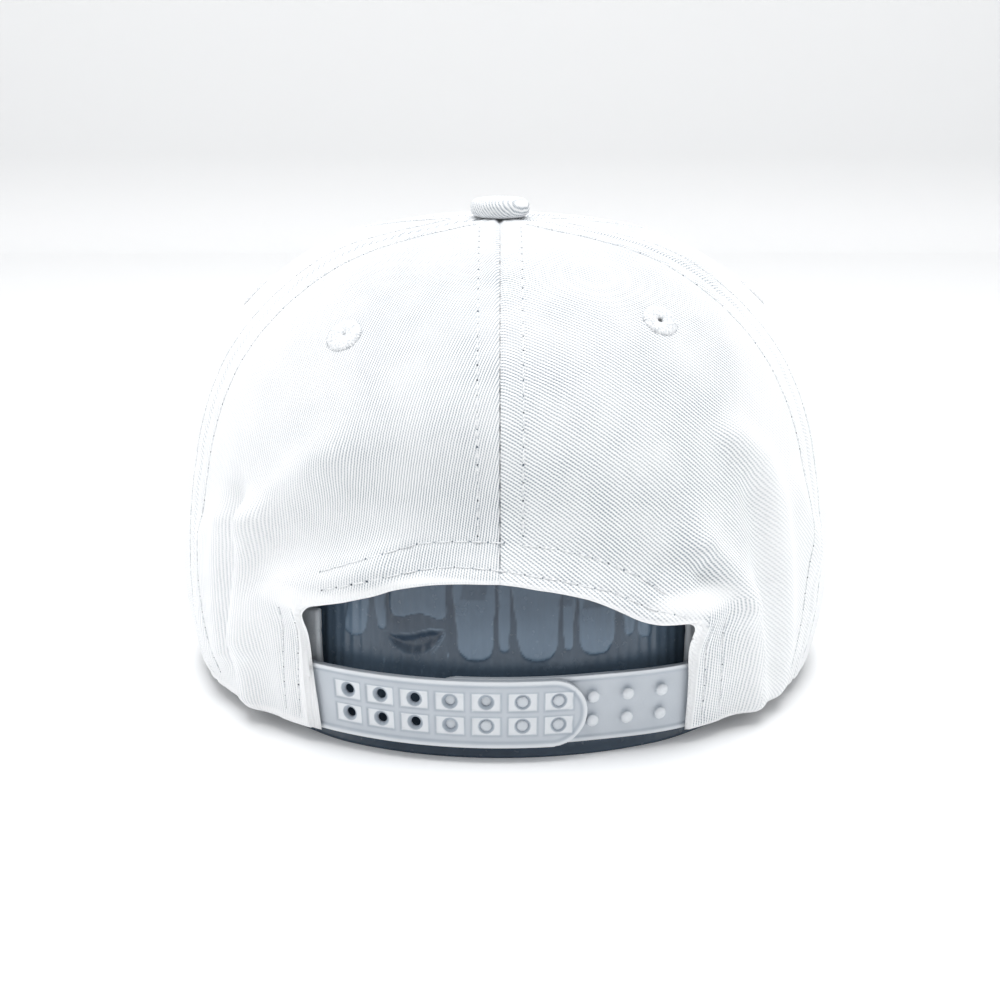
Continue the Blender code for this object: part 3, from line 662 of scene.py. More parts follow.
def moulded_finish(name, base, pale, roughness, grain):
    """Moulded plastic, paler where its stored thin map says, which holds paler parts,
    painted highlights and painted shade, with a faint cloudiness, a fine satin grain and light handling
    marks."""
    finish = Finish(name, Specular_IOR_Level=0.45)
    cloud = finish.noise(7 * MM, 2.0)
    # The stored map paints paleness, painted highlights and painted shade into the colour.
    tone = finish.stored("thin") + (cloud - 0.5) * 0.22
    finish.feed("Base Color", finish.mixed(tone, colour(base), colour(pale)))
    marks = finish.noise(2.5 * MM, 4.0).between(0.55, 0.8)
    finish.feed("Roughness", marks * 0.12 + roughness)
    finish.raise_by(finish.noise(0.5 * MM, 3.0) + 2.0 * cloud, grain)
    return finish.material


# Finished surface of the crown

SLOPE = 165 * MM


def radius_at(angle, rise):
    base = crown_base(angle, rise)
    return np.hypot(base[..., 0], base[..., 1])


def seam_distance(angle, rise):
    """Along the cloth to the nearest seam between panels."""
    turn, seam = turn_of(angle), seam_angle(rise)
    nearest = np.minimum.reduce(
        [turn, np.abs(turn - seam), np.abs(turn - (math.pi - seam)), math.pi - turn])
    return nearest * radius_at(angle, rise)


def edge_distance(angle, rise):
    """Along the cloth to the edge of the opening, and to the nearest free edge."""
    turn = turn_of(angle)
    edge = np.where(np.asarray(angle) > 0, opening_angle(1), -opening_angle(-1))
    top = arch_rise(np.clip(angle, opening_angle(-1), opening_angle(1)))
    above = (rise - top) * SLOPE
    beside = (turn - edge) * radius_at(angle, rise)
    past_corner = np.where(above < 0, beside, np.hypot(beside, above))
    to_opening = np.where(turn < edge, above, past_corner)
    return to_opening, np.where(turn < edge, above, np.minimum(to_opening, rise * SLOPE))


def relief(angle, rise, cloth):
    """How far the seams, the hem and the stitching move the face of the cloth."""
    from_seam = seam_distance(angle, rise)
    to_opening, _ = edge_distance(angle, rise)
    behind = turn_of(angle) < math.radians(20)
    sewn = np.where(behind, step(0.268, 0.29, rise), 1.0)
    out = -cloth.seam_depth * bump(from_seam, 0.9 * MM) * sewn
    out += 0.3 * MM * (1 - step(5.5 * MM, 9 * MM, from_seam)) * sewn
    out -= 0.35 * MM * bump(from_seam - cloth.seam_stitch, 1.1 * MM) * sewn
    pucker = np.sin(rise * SLOPE * math.tau / (2.3 * cloth.stitch_pitch) + 2 * np.sin(9 * rise))
    out += 0.1 * MM * pucker * bump(from_seam - 2 * MM, 4 * MM) * sewn
    out += 0.45 * MM * (1 - step(10 * MM, 13 * MM, to_opening))
    points = flat_place(angle, rise)
    for row in ARCH_ROWS + TAB_ROWS:
        out -= 0.4 * MM * bump(distance_to_route(points, flat_route(row)), 1.0 * MM)
    x, y = points[..., 0] / MM, points[..., 1] / MM
    out += 0.16 * MM * np.sin(x / 9.1 + 1.7 * np.sin(y / 23)) * np.sin(y / 12.7 + np.sin(x / 17))
    return out


def cloth_face(angle, rise, cloth):
    """The finished outer face of the crown."""
    angle, rise = np.broadcast_arrays(np.asarray(angle, float), np.asarray(rise, float))
    lift = fold_out(angle, rise) + relief(angle, rise, cloth)
    return crown_base(angle, rise) + crown_out(angle, rise) * lift[..., None]


def cloth_normal(angle, rise, cloth):
    nudge = 0.004
    across = cloth_face(angle + nudge, rise, cloth) - cloth_face(angle - nudge, rise, cloth)
    up = cloth_face(angle, rise + nudge, cloth) - cloth_face(angle, rise - nudge, cloth)
    return unit(np.cross(across, up))


def cloth_map(angle, rise, middle, diagonal):
    """Where points of a panel lie on the cloth that it was cut from, with the first number across the
    wales. The panel is opened out round its middle, and diagonal panels are cut at 45 degrees."""
    line = crown_base(np.full(RISES.shape, middle), RISES)
    lengths = lengths_along(line)
    radius = np.hypot(line[:, 0], line[:, 1])
    curve = -np.gradient(radius, lengths) / np.maximum(radius, 5 * MM)
    up = np.interp(rise, RISES, lengths)
    bend = np.interp(rise, RISES, curve)
    bend = np.where(np.abs(bend) < 1e-3, 1e-3, np.clip(bend, -30, 30))
    around = (angle - middle) * radius_at(angle, rise)
    x = np.sin(around * bend) / bend
    y = up + (1 - np.cos(around * bend)) / bend
    if diagonal:
        x, y = (x + y) / math.sqrt(2), (y - x) / math.sqrt(2)
    return np.stack([x, y], axis=-1)


# Tab patch: where the right tab's wales turn upright, inside this route of degrees and rise
TAB_FOLD = ((34, 0.215), (41, 0.205), (45, 0.13), (47, 0.0))
TOP_RISE = 0.985
DIAGONAL_PANELS = ("panel_back_right", "panel_side_right", "panel_front_left", "panel_side_left")
WIDER_WALES = 1.2  # on the left panel of the back


def panel_piece(name, cloth, finish):
    """One crown panel with its folds, seam rolls, hem and the hole for its eyelet."""
    side = -1 if "left" in name else 1
    edge = abs(opening_angle(side))
    low_rows = 0
    if "back" in name:
        columns = np.concatenate([uneven(58, 0.85, 0.85) * edge, edge + uneven(62, 0.85, 0.8)[1:]])
        across = 58
        low, high = uneven(34, 0.85, 0.6), uneven(140, 0.85, 0.0)
        low_rows = len(low) - 1
        arch = arch_rise(side * np.minimum(columns, edge))[:, None]
        rise = np.concatenate([arch * low[None, :-1], arch + (TOP_RISE - arch) * high], axis=1)
        seam = seam_angle(rise)
        share = (columns[:, None] - edge) * np.ones_like(rise)
        angle = np.where(share > 0, edge + share * (seam - edge), columns[:, None])
        ends, thickness = (np.zeros_like(rise), seam), CLOTH
    else:
        share = uneven(92, 0.8, 0.8)[:, None]
        rise = TOP_RISE * uneven(130, 0.8, 0.0)[None, :] * np.ones_like(share)
        seam = seam_angle(rise)
        if "side" in name:
            ends, thickness = (seam, math.pi - seam), CLOTH
        else:
            ends, thickness = (math.pi - seam, np.full(rise.shape, math.pi)), FRONT_CLOTH
        angle = ends[0] + share * (ends[1] - ends[0])
    gap = np.full(rise.shape, cloth.seam_gap / 2)
    if "back" in name:
        stitch = 0.75 + 0.45 * np.sin(rise * SLOPE * math.tau / cloth.stitch_pitch)
        gap[0] = cloth.back_seam_gap / 2 * (stitch * step(0.27, 0.30, rise))[0] + 0.02 * MM
        reach = np.interp(rise, [row.rise for row in TAB_EDGES],
                          [row.left if side < 0 else row.right for row in TAB_EDGES])
        angle = angle - np.radians(reach) * bump(angle - edge, math.radians(7.0))
    trim = gap / radius_at(side * angle, rise)
    angle[0] += trim[0]
    angle[-1] -= trim[-1]
    angle = side * angle
    cells = np.ones((angle.shape[0] - 1, angle.shape[1] - 1), bool)
    if low_rows:
        cells[:across, :low_rows] = False
    middles = crown_base(angle, rise)
    middles = (middles[:-1, :-1] + middles[1:, 1:]) / 2
    for eyelet in EYELETS:
        if eyelet.panel == name:
            spot = crown_base(math.radians(eyelet.degrees), rise_at(eyelet.height * CROWN_HEIGHT))
            cells &= np.linalg.norm(middles - spot, axis=-1) > COLLAR_RADIUS + 0.1 * MM
    _, to_free = edge_distance(angle, rise)
    near, rounding = rounded(to_free, thickness / 2)
    # Near the free edges the twill pattern fades, as wear and as a painted highlight on the rolled lips.
    lip = (1.7 + 1.7 * step(0.05, 0.22, -angle)) * MM
    worn = 1 - step(0.35 * lip, lip, to_free)
    # On the inner side, from a few millimetres in from the edge, the cloth is painted darker as painted
    # shade.
    inner_shade = 1 + step(1.5 * MM, 4.0 * MM, to_free)
    base, out, folds = crown_base(angle, rise), crown_out(angle, rise), fold_out(angle, rise)
    face = folds + relief(angle, rise, cloth) * (1 - near ** 2) - rounding
    outer = base + out * face[..., None]
    inner = base + out * (folds - thickness + rounding)[..., None]
    if side < 0:
        outer, inner, cells = outer[::-1], inner[::-1], cells[::-1]
        angle, rise, worn, inner_shade = angle[::-1], rise[::-1], worn[::-1], inner_shade[::-1]
    worn = np.concatenate([worn.ravel(), inner_shade.ravel()])
    middle = side * (ends[0][0, 0] + ends[1][0, 0]) / 2
    flat = cloth_map(angle, rise, middle, diagonal=name in DIAGONAL_PANELS)
    if name == "panel_back_left":
        flat = flat * WIDER_WALES
    obj = walled_grid(name + "_twill", outer, inner, cells, flat, worn=worn)
    if name == "panel_back_right":
        turn_tab_wales(obj, cells, angle, rise)
    return as_piece(obj, finish, "twill", name)


def turn_tab_wales(obj, cells, angle, rise):
    """Sets the wales of the right tab upright, beside its fold."""
    degrees = np.degrees(angle)
    route = np.array(TAB_FOLD[::-1])
    reach = np.interp(rise, route[:, 1], route[:, 0])
    top = np.interp(degrees, [34, 41], [0.215, 0.205])
    inside = (degrees < reach) & (rise < top) & (degrees > math.degrees(opening_angle(1)) - 0.1)
    in_cell = (inside[:-1, :-1] & inside[1:, 1:])[cells]
    upright = np.stack([(angle - opening_angle(1)) * HALF_RIGHT, rise * SLOPE], axis=-1)
    ii, jj = np.nonzero(cells)
    corners = np.stack([upright[ii, jj], upright[ii + 1, jj], upright[ii + 1, jj + 1],
                        upright[ii, jj + 1]], axis=1)
    layer = obj.data.uv_layers["cloth"].data
    flat = np.empty(len(layer) * 2)
    layer.foreach_get("uv", flat)
    flat = flat.reshape(-1, 2)
    faces = np.nonzero(in_cell)[0]
    for k in range(4):
        flat[faces * 4 + k] = corners[faces, k]
    layer.foreach_set("uv", flat.ravel())


# Stitching

def spindle(length, radius):
    """One stitch lying along X, plump in the middle, as points and faces."""
    deselect()
    bpy.ops.mesh.primitive_uv_sphere_add(segments=8, ring_count=7, radius=1.0)
    stitch = bpy.context.object
    stitch.rotation_euler = (0.0, math.pi / 2, 0.0)
    settled(stitch)
    points = points_of(stitch)
    points[:, 0] = np.sign(points[:, 0]) * np.abs(points[:, 0]) ** 0.8
    points *= (length / 2, radius, radius)
    faces = [tuple(face.vertices) for face in stitch.data.polygons]
    bpy.data.objects.remove(stitch)
    return points, faces


def disc(radius):
    deselect()
    bpy.ops.mesh.primitive_circle_add(vertices=8, radius=radius, fill_type="NGON")
    spot = bpy.context.object
    points, faces = points_of(spot), [tuple(face.vertices) for face in spot.data.polygons]
    bpy.data.objects.remove(spot)
    return points, faces


def laid_copies(template, middles, along, out, size=1.0):
    """Copies of a template at these middles, each turned to its own directions and of its own size."""
    points, faces = template
    along, out = along * np.asarray(size)[..., None], out * np.asarray(size)[..., None]
    side = np.cross(unit(out), along)
    placed = (middles[:, None] + points[:, 0, None] * along[:, None] + points[:, 1, None]
              * side[:, None] + points[:, 2, None] * out[:, None])
    count = len(points)
    all_faces = [tuple(v + count * k for v in face) for k in range(len(middles)) for face in faces]
    return placed.reshape(-1, 3), all_faces


def stitched(name, rows, cloth, finishes):
    """Stitches, and dark discs that paint the shade in the needle holes, along rows, each a pair of points
    and of outward directions.
    """
    starts, ends, outs = [], [], []
    for points, normals in rows:
        lengths = lengths_along(points)
        count = max(int(round(lengths[-1] / cloth.stitch_pitch)), 1)
        marks = np.linspace(0.0, lengths[-1], count + 1)
        spots = np.stack([np.interp(marks, lengths, points[:, k]) for k in range(3)], axis=1)
        facing = np.stack([np.interp(marks, lengths, normals[:, k]) for k in range(3)], axis=1)
        starts.append(spots[:-1])
        ends.append(spots[1:])
        outs.append(unit(facing[:-1] + facing[1:]))
    starts, ends, outs = (np.concatenate(group) for group in (starts, ends, outs))
    along = unit(ends - starts)
    outs = unit(outs - along * (outs * along).sum(1, keepdims=True))
    length = 0.84 * cloth.stitch_pitch
    middles = (starts + ends) / 2 + outs * cloth.thread_radius * 0.55
    points, faces = laid_copies(spindle(length, cloth.thread_radius), middles, along, outs)
    threads = mesh_piece(name, points.tolist(), faces)
    size = np.random.default_rng(len(starts)).uniform(0.55, 1.25, len(starts))
    # Dark discs paint the shade in the needle holes.
    points, faces = laid_copies(
        disc(cloth.needle_radius), starts + outs * 0.07 * MM, along, outs, size)
    holes = mesh_piece(name + "_holes", points.tolist(), faces)
    threads.data.materials.append(finishes[0])
    holes.data.materials.append(finishes[1])
    made = joined([threads, holes], name)
    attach(made, BODY)


def crown_row(angles, rises, cloth):
    return cloth_face(angles, rises, cloth), cloth_normal(angles, rises, cloth)


def beside_seam(seam, sign, low, high, cloth):
    """A row of topstitching beside the seam at the angle seam(rise)."""
    rises = np.linspace(low, high, 120)
    angles = seam(rises)
    angles = angles + sign * cloth.seam_stitch / radius_at(angles, rises)
    return crown_row(angles, rises, cloth)


def routed(row, cloth):
    degrees, rises = (np.array(column, float) for column in zip(*row))
    fine = np.linspace(0, len(degrees) - 1, 40 * (len(degrees) - 1) + 1)
    steps = np.arange(len(degrees))
    return crown_row(np.radians(np.interp(fine, steps, degrees)), np.interp(fine, steps, rises), cloth)


# Strap

Track = namedtuple("Track", "length x y out_x out_y lean")


def strap_track():
    """The strap's outer face seen from above, and how far it leans out for each metre of height."""
    angles = np.linspace(-math.radians(75), math.radians(75), 481)
    low, high = (rise_at(STRAP_MIDDLE - RIM_LIFT + share * STRAP_HEIGHT) for share in (-0.5, 0.5))
    bottom, _ = outline(angles, STRAP_INSET, low)
    top, _ = outline(angles, STRAP_INSET, high)
    _, level = outline(angles, 0.0, (low + high) / 2)
    place = (bottom + top) / 2
    lean = ((top - bottom) * level).sum(1) / STRAP_HEIGHT
    steps = np.hypot(*np.diff(place[:, :2], axis=0).T)
    length = np.concatenate([[0.0], np.cumsum(steps)])
    return Track(length - length[len(length) // 2], place[:, 0], place[:, 1],
                 level[:, 0], level[:, 1], lean)


TRACK = strap_track()


def track_length(angle):
    edge, _ = outline(angle, STRAP_INSET)
    return TRACK.length[np.argmin(np.hypot(TRACK.x - edge[0], TRACK.y - edge[1]))]


def laid_on_track(obj, side, behind):
    """Bends a flat strap, with its length along X and its front at Z = 0, round the cap."""
    points = points_of(obj)
    length = points[:, 0] if side < 0 else -points[:, 0]
    spot = Track(*(np.interp(length, TRACK.length, values) for values in TRACK))
    depth = behind(length) - points[:, 2] - spot.lean * points[:, 1]
    x = spot.x - spot.out_x * depth
    y = spot.y - spot.out_y * depth
    placed = np.stack([x, y, STRAP_MIDDLE + points[:, 1]], axis=1)
    move_points(obj, placed)


def slab(x_low, x_high, height, z_low, z_high, y=0.0, corners=(0.0, 0.0)):
    """A flat slab, its upright edges rounded by the corners of its low and its high X."""
    deselect()
    middle, length = Vector(((x_low + x_high) / 2, y, (z_low + z_high) / 2)), x_high - x_low
    bpy.ops.mesh.primitive_cube_add(
        size=1.0, location=middle, scale=(length, height, z_high - z_low))
    made = settled(bpy.context.object)

    def upright_at(side, a, b):
        a, b = a - middle, b - middle
        return a.z * b.z < 0 and min(a.x * side, b.x * side) > length / 2.1

    for side, corner in zip((-1, 1), corners):
        if corner:
            select_edges(made, lambda a, b, side=side: upright_at(side, a, b))
            bpy.ops.mesh.bevel(offset=corner, segments=6)
            bpy.ops.object.mode_set(mode="OBJECT")
    return made


def round_post(x, y, radius, z_low, z_high, top_radius=None, sides=40):
    deselect()
    bpy.ops.mesh.primitive_cone_add(
        vertices=sides, radius1=radius, radius2=radius if top_radius is None else top_radius,
        depth=z_high - z_low, location=(x, y, (z_low + z_high) / 2))
    return settled(bpy.context.object)


def cut(obj, cutter, operation="DIFFERENCE"):
    apply_modifier(obj, "BOOLEAN", operation=operation, object=cutter, solver="EXACT")
    bpy.data.objects.remove(cutter)


def strap_plate(start, round_end, inset, z_low, z_high):
    """A plate with a half round end, drawn in by inset all round."""
    half = STRAP_HEIGHT / 2
    plate = slab(start, round_end - half, STRAP_HEIGHT - 2 * inset, z_low, z_high)
    nose = round_post(round_end - half, 0.0, half - inset, z_low, z_high, sides=96)
    cut(plate, nose, "UNION")
    return plate


def moulded(obj, fineness, name):
    """Softens the edges of a flat strap as a mould does."""
    apply_modifier(obj, "REMESH", mode="VOXEL", voxel_size=fineness)
    apply_modifier(obj, "SMOOTH", factor=0.5, iterations=2)
    obj.data.shade_smooth()
    obj.name = obj.data.name = name
    return obj


def store_pale_and_painted_light(obj, values):
    """Stores how pale a moulded piece is, from 0 to 1 at each point, painted highlights and shade included.
    """
    store(obj, "thin", np.clip(values, 0.0, 1.0))


def from_border(points, round_end):
    """Distance in from the border of a flat strap with a round end."""
    half = STRAP_HEIGHT / 2
    past = np.maximum(points[:, 0] - (round_end - half), 0.0)
    return half - np.hypot(past, points[:, 1])


def snap_places(first):
    for column in range(SNAP_COLUMNS):
        for row in (-SNAP_ROW / 2, SNAP_ROW / 2):
            yield column, first + column * SNAP_PITCH, row


def strap_ends(side):
    """Along the flat strap: its tab end, its first column of snaps and its round end."""
    tab_end = -(abs(track_length(opening_angle(side))) + STRAP_LAP)
    middle_snapped = SNAP_SHIFT + (SNAPPED - 1) * SNAP_PITCH / 2
    first = -side * middle_snapped - (SNAP_COLUMNS - (SNAPPED + 1) / 2) * SNAP_PITCH
    return tab_end, first, first + (SNAP_COLUMNS - 1) * SNAP_PITCH + END_REACH


def holes_strap(moulding, finish):
    """The half with the holes: a beaded edge, and a pocket, a funnel and a bore at each snap."""
    tab_end, first, round_end = strap_ends(-1)
    plate = strap_plate(tab_end, round_end, 0.0, -STRAP_THICKNESS, STRAP_BEAD)
    cut(plate, strap_plate(tab_end - STRAP_LAP, round_end, STRAP_EDGE, 0.0, 3 * STRAP_BEAD))
    half, high = moulding.pocket_width / 2, moulding.pocket_height
    floor = -moulding.pocket_depth
    pockets, funnels, bores, middles = [], [], [], []
    for column, x, y in snap_places(first):
        far = 0.42 * high if column == SNAP_COLUMNS - 1 else 0.6 * MM
        pockets.append(slab(x - half, x + half, high, floor, 1 * MM, y, (0.6 * MM, far)))
        funnels.append(round_post(
            x, y, moulding.bore_radius, floor - 0.75 * MM, floor + 0.02 * MM, moulding.funnel_radius))
        bores.append(round_post(x, y, moulding.bore_radius, -2 * STRAP_THICKNESS, 0.0))
        middles.append((x, y))
    for cutters in (pockets, funnels, bores):
        cut(plate, joined(cutters, "snap_cutter"))
    strap = moulded(plate, moulding.fineness, "holes_strap")
    points = points_of(strap)
    border = from_border(points, round_end)
    # The crest of the bead is painted pale as a painted highlight, and a line inside it darker as painted
    # shade.
    thin = 0.42 + 0.5 * (1 - step(0.55 * MM, 1.25 * MM, border)) * step(-0.25 * MM, 0.1 * MM,
                                                                        points[:, 2])
    thin -= 0.30 * bump(border - STRAP_EDGE - 0.3 * MM, 0.35 * MM)
    for x, y in middles:
        across, up = np.abs(points[:, 0] - x) - half, np.abs(points[:, 1] - y) - high / 2
        into = np.maximum(across, up)
        apart = np.hypot(points[:, 0] - x, points[:, 1] - y)
        ring = step(moulding.funnel_radius - 0.1 * MM, moulding.funnel_radius + 0.2 * MM, apart)
        # Pocket floors are painted paler; pocket walls, funnel and bore are painted darker as painted
        # shade.
        thin += (0.72 * (1 - step(-0.45 * MM, -0.1 * MM, into)) * ring
                 - 0.26 * bump(into, 0.28 * MM) - 0.40 * (1 - ring))
    store_pale_and_painted_light(strap, thin)
    laid_on_track(strap, -1, lambda length: 0.0 * length)
    return as_piece(strap, finish, "snap_strap", "strap_holes")


def pegs_strap(moulding, finish):
    """The half with the pegs, four columns of which are snapped through the other half."""
    tab_end, first, round_end = strap_ends(1)
    plate = strap_plate(tab_end, round_end, 0.0, -STRAP_THICKNESS, 0.0)
    recess = strap_plate(tab_end - STRAP_LAP, round_end, STRAP_EDGE, -0.22 * MM, STRAP_BEAD)
    cut(plate, recess)
    shapes = [plate]
    for column, x, y in snap_places(first):
        low = column == 6 or (column == 5 and y > 0)
        top = STRAP_LAYER - moulding.pocket_depth - (0.85 * MM if low else 0.05 * MM)
        shapes.append(round_post(x, y, 0.78 * moulding.bore_radius, -STRAP_THICKNESS / 2, top))
        deselect()
        flat = 0.42 * MM if column > 2 else 0.85 * MM
        bpy.ops.mesh.primitive_uv_sphere_add(
            segments=32, ring_count=16, radius=1.0, location=(x, y, top - flat),
            scale=(moulding.peg_radius, moulding.peg_radius, flat))
        shapes.append(settled(bpy.context.object))
    strap = moulded(joined(shapes, "pegs_strap"), moulding.fineness, "pegs_strap")
    points = points_of(strap)
    border = from_border(points, round_end)
    # The rim of the recess is painted pale as a painted highlight, and a line inside it darker as painted
    # shade.
    thin = 0.42 + 0.4 * (1 - step(0.5 * MM, 1.2 * MM, border)) * step(-0.25 * MM, 0.0, points[:, 2])
    thin -= 0.24 * bump(border - STRAP_EDGE - 0.2 * MM, 0.35 * MM)
    for column, x, y in snap_places(first):
        apart = np.hypot(points[:, 0] - x, points[:, 1] - y)
        if column < 3:
            # Free pegs: domes painted pale as a painted highlight, with a painted shadow above each.
            thin += 0.45 * step(0.5 * MM, 1.0 * MM, points[:, 2]) * (apart < 2 * MM)
            above = np.hypot(points[:, 0] - x, (points[:, 1] - y - 1.7 * MM) * 1.2)
            thin -= 0.30 * bump(above, 1.3 * MM) * (points[:, 2] < 0.3 * MM)
        else:
            # Snapped pegs: tops painted a little paler.
            thin += 0.22 * (apart < 1.3 * MM) * (points[:, 2] > 0.5 * MM)
    store_pale_and_painted_light(strap, thin)
    edge = track_length(opening_angle(1))
    holes_end = SNAP_SHIFT + (SNAPPED - 1) * SNAP_PITCH + END_REACH
    laid_on_track(strap, 1, lambda length: STRAP_LAYER * (1 - step(holes_end, edge, length)))
    return as_piece(strap, finish, "snap_strap", "strap_pegs")


# Button, eyelets, sweatband, peak and insert

def covered_button(finish):
    """A round button covered in twill that is drawn in under its rim."""
    low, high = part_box("button")
    radius = (high.x - low.x) / 2
    top = RIM_LIFT + CROWN_HEIGHT
    thickness = high.z - top
    made = round_post(0.0, 0.0, radius, top + 0.3 * MM, high.z, sides=64)
    apply_modifier(made, "BEVEL", width=0.36 * thickness, segments=7, limit_method="ANGLE",
                   angle_limit=math.radians(50))
    bpy.ops.object.mode_set(mode="EDIT")
    bpy.ops.mesh.select_all(action="SELECT")
    bpy.ops.mesh.bisect(plane_co=(0, 0, top + 0.62 * thickness), plane_no=(0, 0, 1))
    bpy.ops.object.mode_set(mode="OBJECT")
    points = points_of(made)
    apart = np.hypot(points[:, 0], points[:, 1])
    turn = np.arctan2(points[:, 1], points[:, 0])
    rim = bump(apart - radius, 1.6 * MM)
    swell = 1 + rim * 0.012 * (np.sin(11 * turn) + np.sin(17 * turn + 1.3))
    points[:, :2] *= swell[:, None]
    points[:, 2] -= 0.5 * MM * (apart / radius) ** 2 * (points[:, 2] > top + thickness / 2)
    points[:, 2] += TOP_LIFT
    move_points(made, points)
    shade_by_angle(made, 70)
    points = points_of(made)
    lay_map(made, points[:, :2] @ np.array([[0.8, 0.6], [-0.6, 0.8]]) + points[:, 2:] * 0.7)
    made.name = made.data.name = "covered_button"
    return as_piece(made, finish, "twill", "button")


def eyelet_piece(number, eyelet, cloth, finish):
    """A ring of satin stitches round a collar that lines the hole."""
    radius, bore = EYELET_RADIUS, eyelet.bore * MM
    ring_middle = (radius + bore) / 2
    deselect()
    bpy.ops.mesh.primitive_torus_add(
        major_radius=ring_middle, minor_radius=(radius - bore) / 2, major_segments=48,
        minor_segments=12)
    ring = bpy.context.object
    ring.scale.z = 0.36
    settled(ring)
    thickness = FRONT_CLOTH if "front" in eyelet.panel else CLOTH
    collar = round_post(0.0, 0.0, COLLAR_RADIUS, -thickness, 0.35 * MM)
    cut(collar, round_post(0.0, 0.0, bore, -3 * MM, 3 * MM))
    turns = np.linspace(0, math.tau, 38, endpoint=False)
    uneven_reach = 1 + 0.05 * np.sin(7 * turns) + 0.04 * np.sin(13 * turns + 1)
    out = np.stack([np.cos(turns), np.sin(turns), 0 * turns], axis=1)
    middles = out * (ring_middle * uneven_reach)[:, None] + (0, 0, 0.5 * MM)
    up = np.tile([0.0, 0.0, 1.0], (len(turns), 1))
    template = spindle(1.1 * (radius - bore), 0.36 * MM)
    template[0][:, 2] -= 0.42 * MM * (template[0][:, 0] / (0.5 * (radius - bore))) ** 2
    threads = mesh_piece("threads", *map(list, laid_copies(template, middles, out, up)))
    made = joined([ring, collar, threads], f"eyelet_stitched_{number}")
    made.data.shade_smooth()
    angle, rise = math.radians(eyelet.degrees), rise_at(eyelet.height * CROWN_HEIGHT)
    spot = cloth_face(angle, rise, cloth)
    facing = Vector(cloth_normal(angle, rise, cloth))
    made.rotation_mode = "QUATERNION"
    made.rotation_quaternion = facing.to_track_quat("Z", "Y")
    made.location = spot
    settled(made)
    return as_piece(made, finish, "stitching", f"eyelet_{number}")


def sweatband_piece(finish):
    start = opening_angle(1) - BAND_SHOWS / HALF_RIGHT
    angle = np.linspace(start, math.tau - start, 420)[:, None]
    rise = rise_at(BAND_HEIGHT) * uneven(26, 0.8, 0.8)[None, :]
    angle, rise = np.broadcast_arrays(angle, rise)
    turn, up = turned(angle), rise * SLOPE
    _, rounding = rounded(np.minimum(up, rise_at(BAND_HEIGHT) * SLOPE - up), BAND_THICKNESS / 2)
    base, out = crown_base(turn, rise), crown_out(turn, rise)
    seam = 0.25 * MM * bump(up - 0.8 * BAND_HEIGHT, 0.8 * MM)
    inset = band_inset(turn)
    outer = base - out * (inset + rounding)[..., None]
    inner = base - out * (inset + BAND_THICKNESS - rounding - seam)[..., None]
    flat = np.stack([angle * HALF_LEFT, up], axis=-1)
    cells = np.ones((angle.shape[0] - 1, angle.shape[1] - 1), bool)
    made = walled_grid("sweatband_cloth", outer, inner, cells, flat)
    return as_piece(made, finish, "sweatband", "sweatband")


def peak_grid(shares, rows):
    """Top face of the peak, at shares across it and rows out from the crown."""
    across = (2 * shares - 1)[:, None]
    rows = rows[None, :]
    corner = -FRONT_REACH * math.cos(math.pi - PEAK_HALF_ANGLE)
    length = FRONT_REACH + PEAK_LENGTH - corner
    turn = across * math.pi / 2
    power = 2 / PEAK_SQUARENESS
    x = np.abs(np.sin(turn)) ** power * np.sign(turn) * PEAK_WIDTH / 2
    y = np.maximum(np.cos(turn), 0.0) ** power * length
    edge = np.stack([(HALF_RIGHT - HALF_LEFT) / 2 + x, corner + y], axis=-1)
    angle = math.pi - across[:, 0] * PEAK_HALF_ANGLE
    inner, _ = outline(angle, insert_inset(angle) - GAP)
    flat = inner[:, None, :2] + rows[..., None] * (edge - inner[:, None, :2])
    share = np.abs(flat[..., 0]) / np.where(flat[..., 0] > 0, HALF_RIGHT, HALF_LEFT)
    height = RIM_LIFT + FRONT_ARCH * (1 - np.minimum(share, 1.0) ** 2) - GAP - PEAK_DROP * rows
    return np.concatenate([flat, height[..., None]], axis=-1)


PEAK_ROWS = (0.30, 0.40, 0.50, 0.60, 0.70, 0.80, 0.895, 0.955)


def peak_piece(cloth, finish, finishes):
    """The cloth-covered peak with its rows of stitching."""
    shares = uneven(170, 0.9, 0.9, 0.05)
    rows = uneven(64, 0.0, 0.92, 0.06)
    top = peak_grid(shares, rows)
    steps = np.linalg.norm(np.diff(top, axis=1), axis=-1)
    out_along = np.concatenate([np.zeros((len(shares), 1)), np.cumsum(steps, axis=1)], axis=1)
    to_edge = out_along[:, -1:] - out_along
    to_edge[[0, -1]] = 0.0
    near, rounding = rounded(to_edge, PEAK_THICKNESS / 2)
    dips = sum(bump((rows - row) * PEAK_LENGTH, 0.9 * MM) for row in PEAK_ROWS)[None, :]
    bottom = top - (0, 0, PEAK_THICKNESS)
    top = top - np.stack([0 * near, 0 * near, rounding + 0.18 * MM * dips * (1 - near)], axis=-1)
    bottom = bottom + np.stack([0 * near, 0 * near, rounding], axis=-1)
    flat = top[..., :2] @ np.array([[0.6, 0.8], [-0.8, 0.6]])
    cells = np.ones((len(shares) - 1, len(rows) - 1), bool)
    made = walled_grid("peak_twill", top[::-1], bottom[::-1], cells, flat[::-1])
    as_piece(made, finish, "twill", "peak")
    rows_of_points = []
    for row in PEAK_ROWS:
        line = peak_grid(np.linspace(0.03, 0.97, 400), np.array([row]))[:, 0]
        line[:, 2] -= 0.12 * MM
        rows_of_points.append((line[::-1], np.tile([0.0, 0.0, 1.0], (len(line), 1))))
    stitched("peak_stitching", rows_of_points, cloth, finishes)


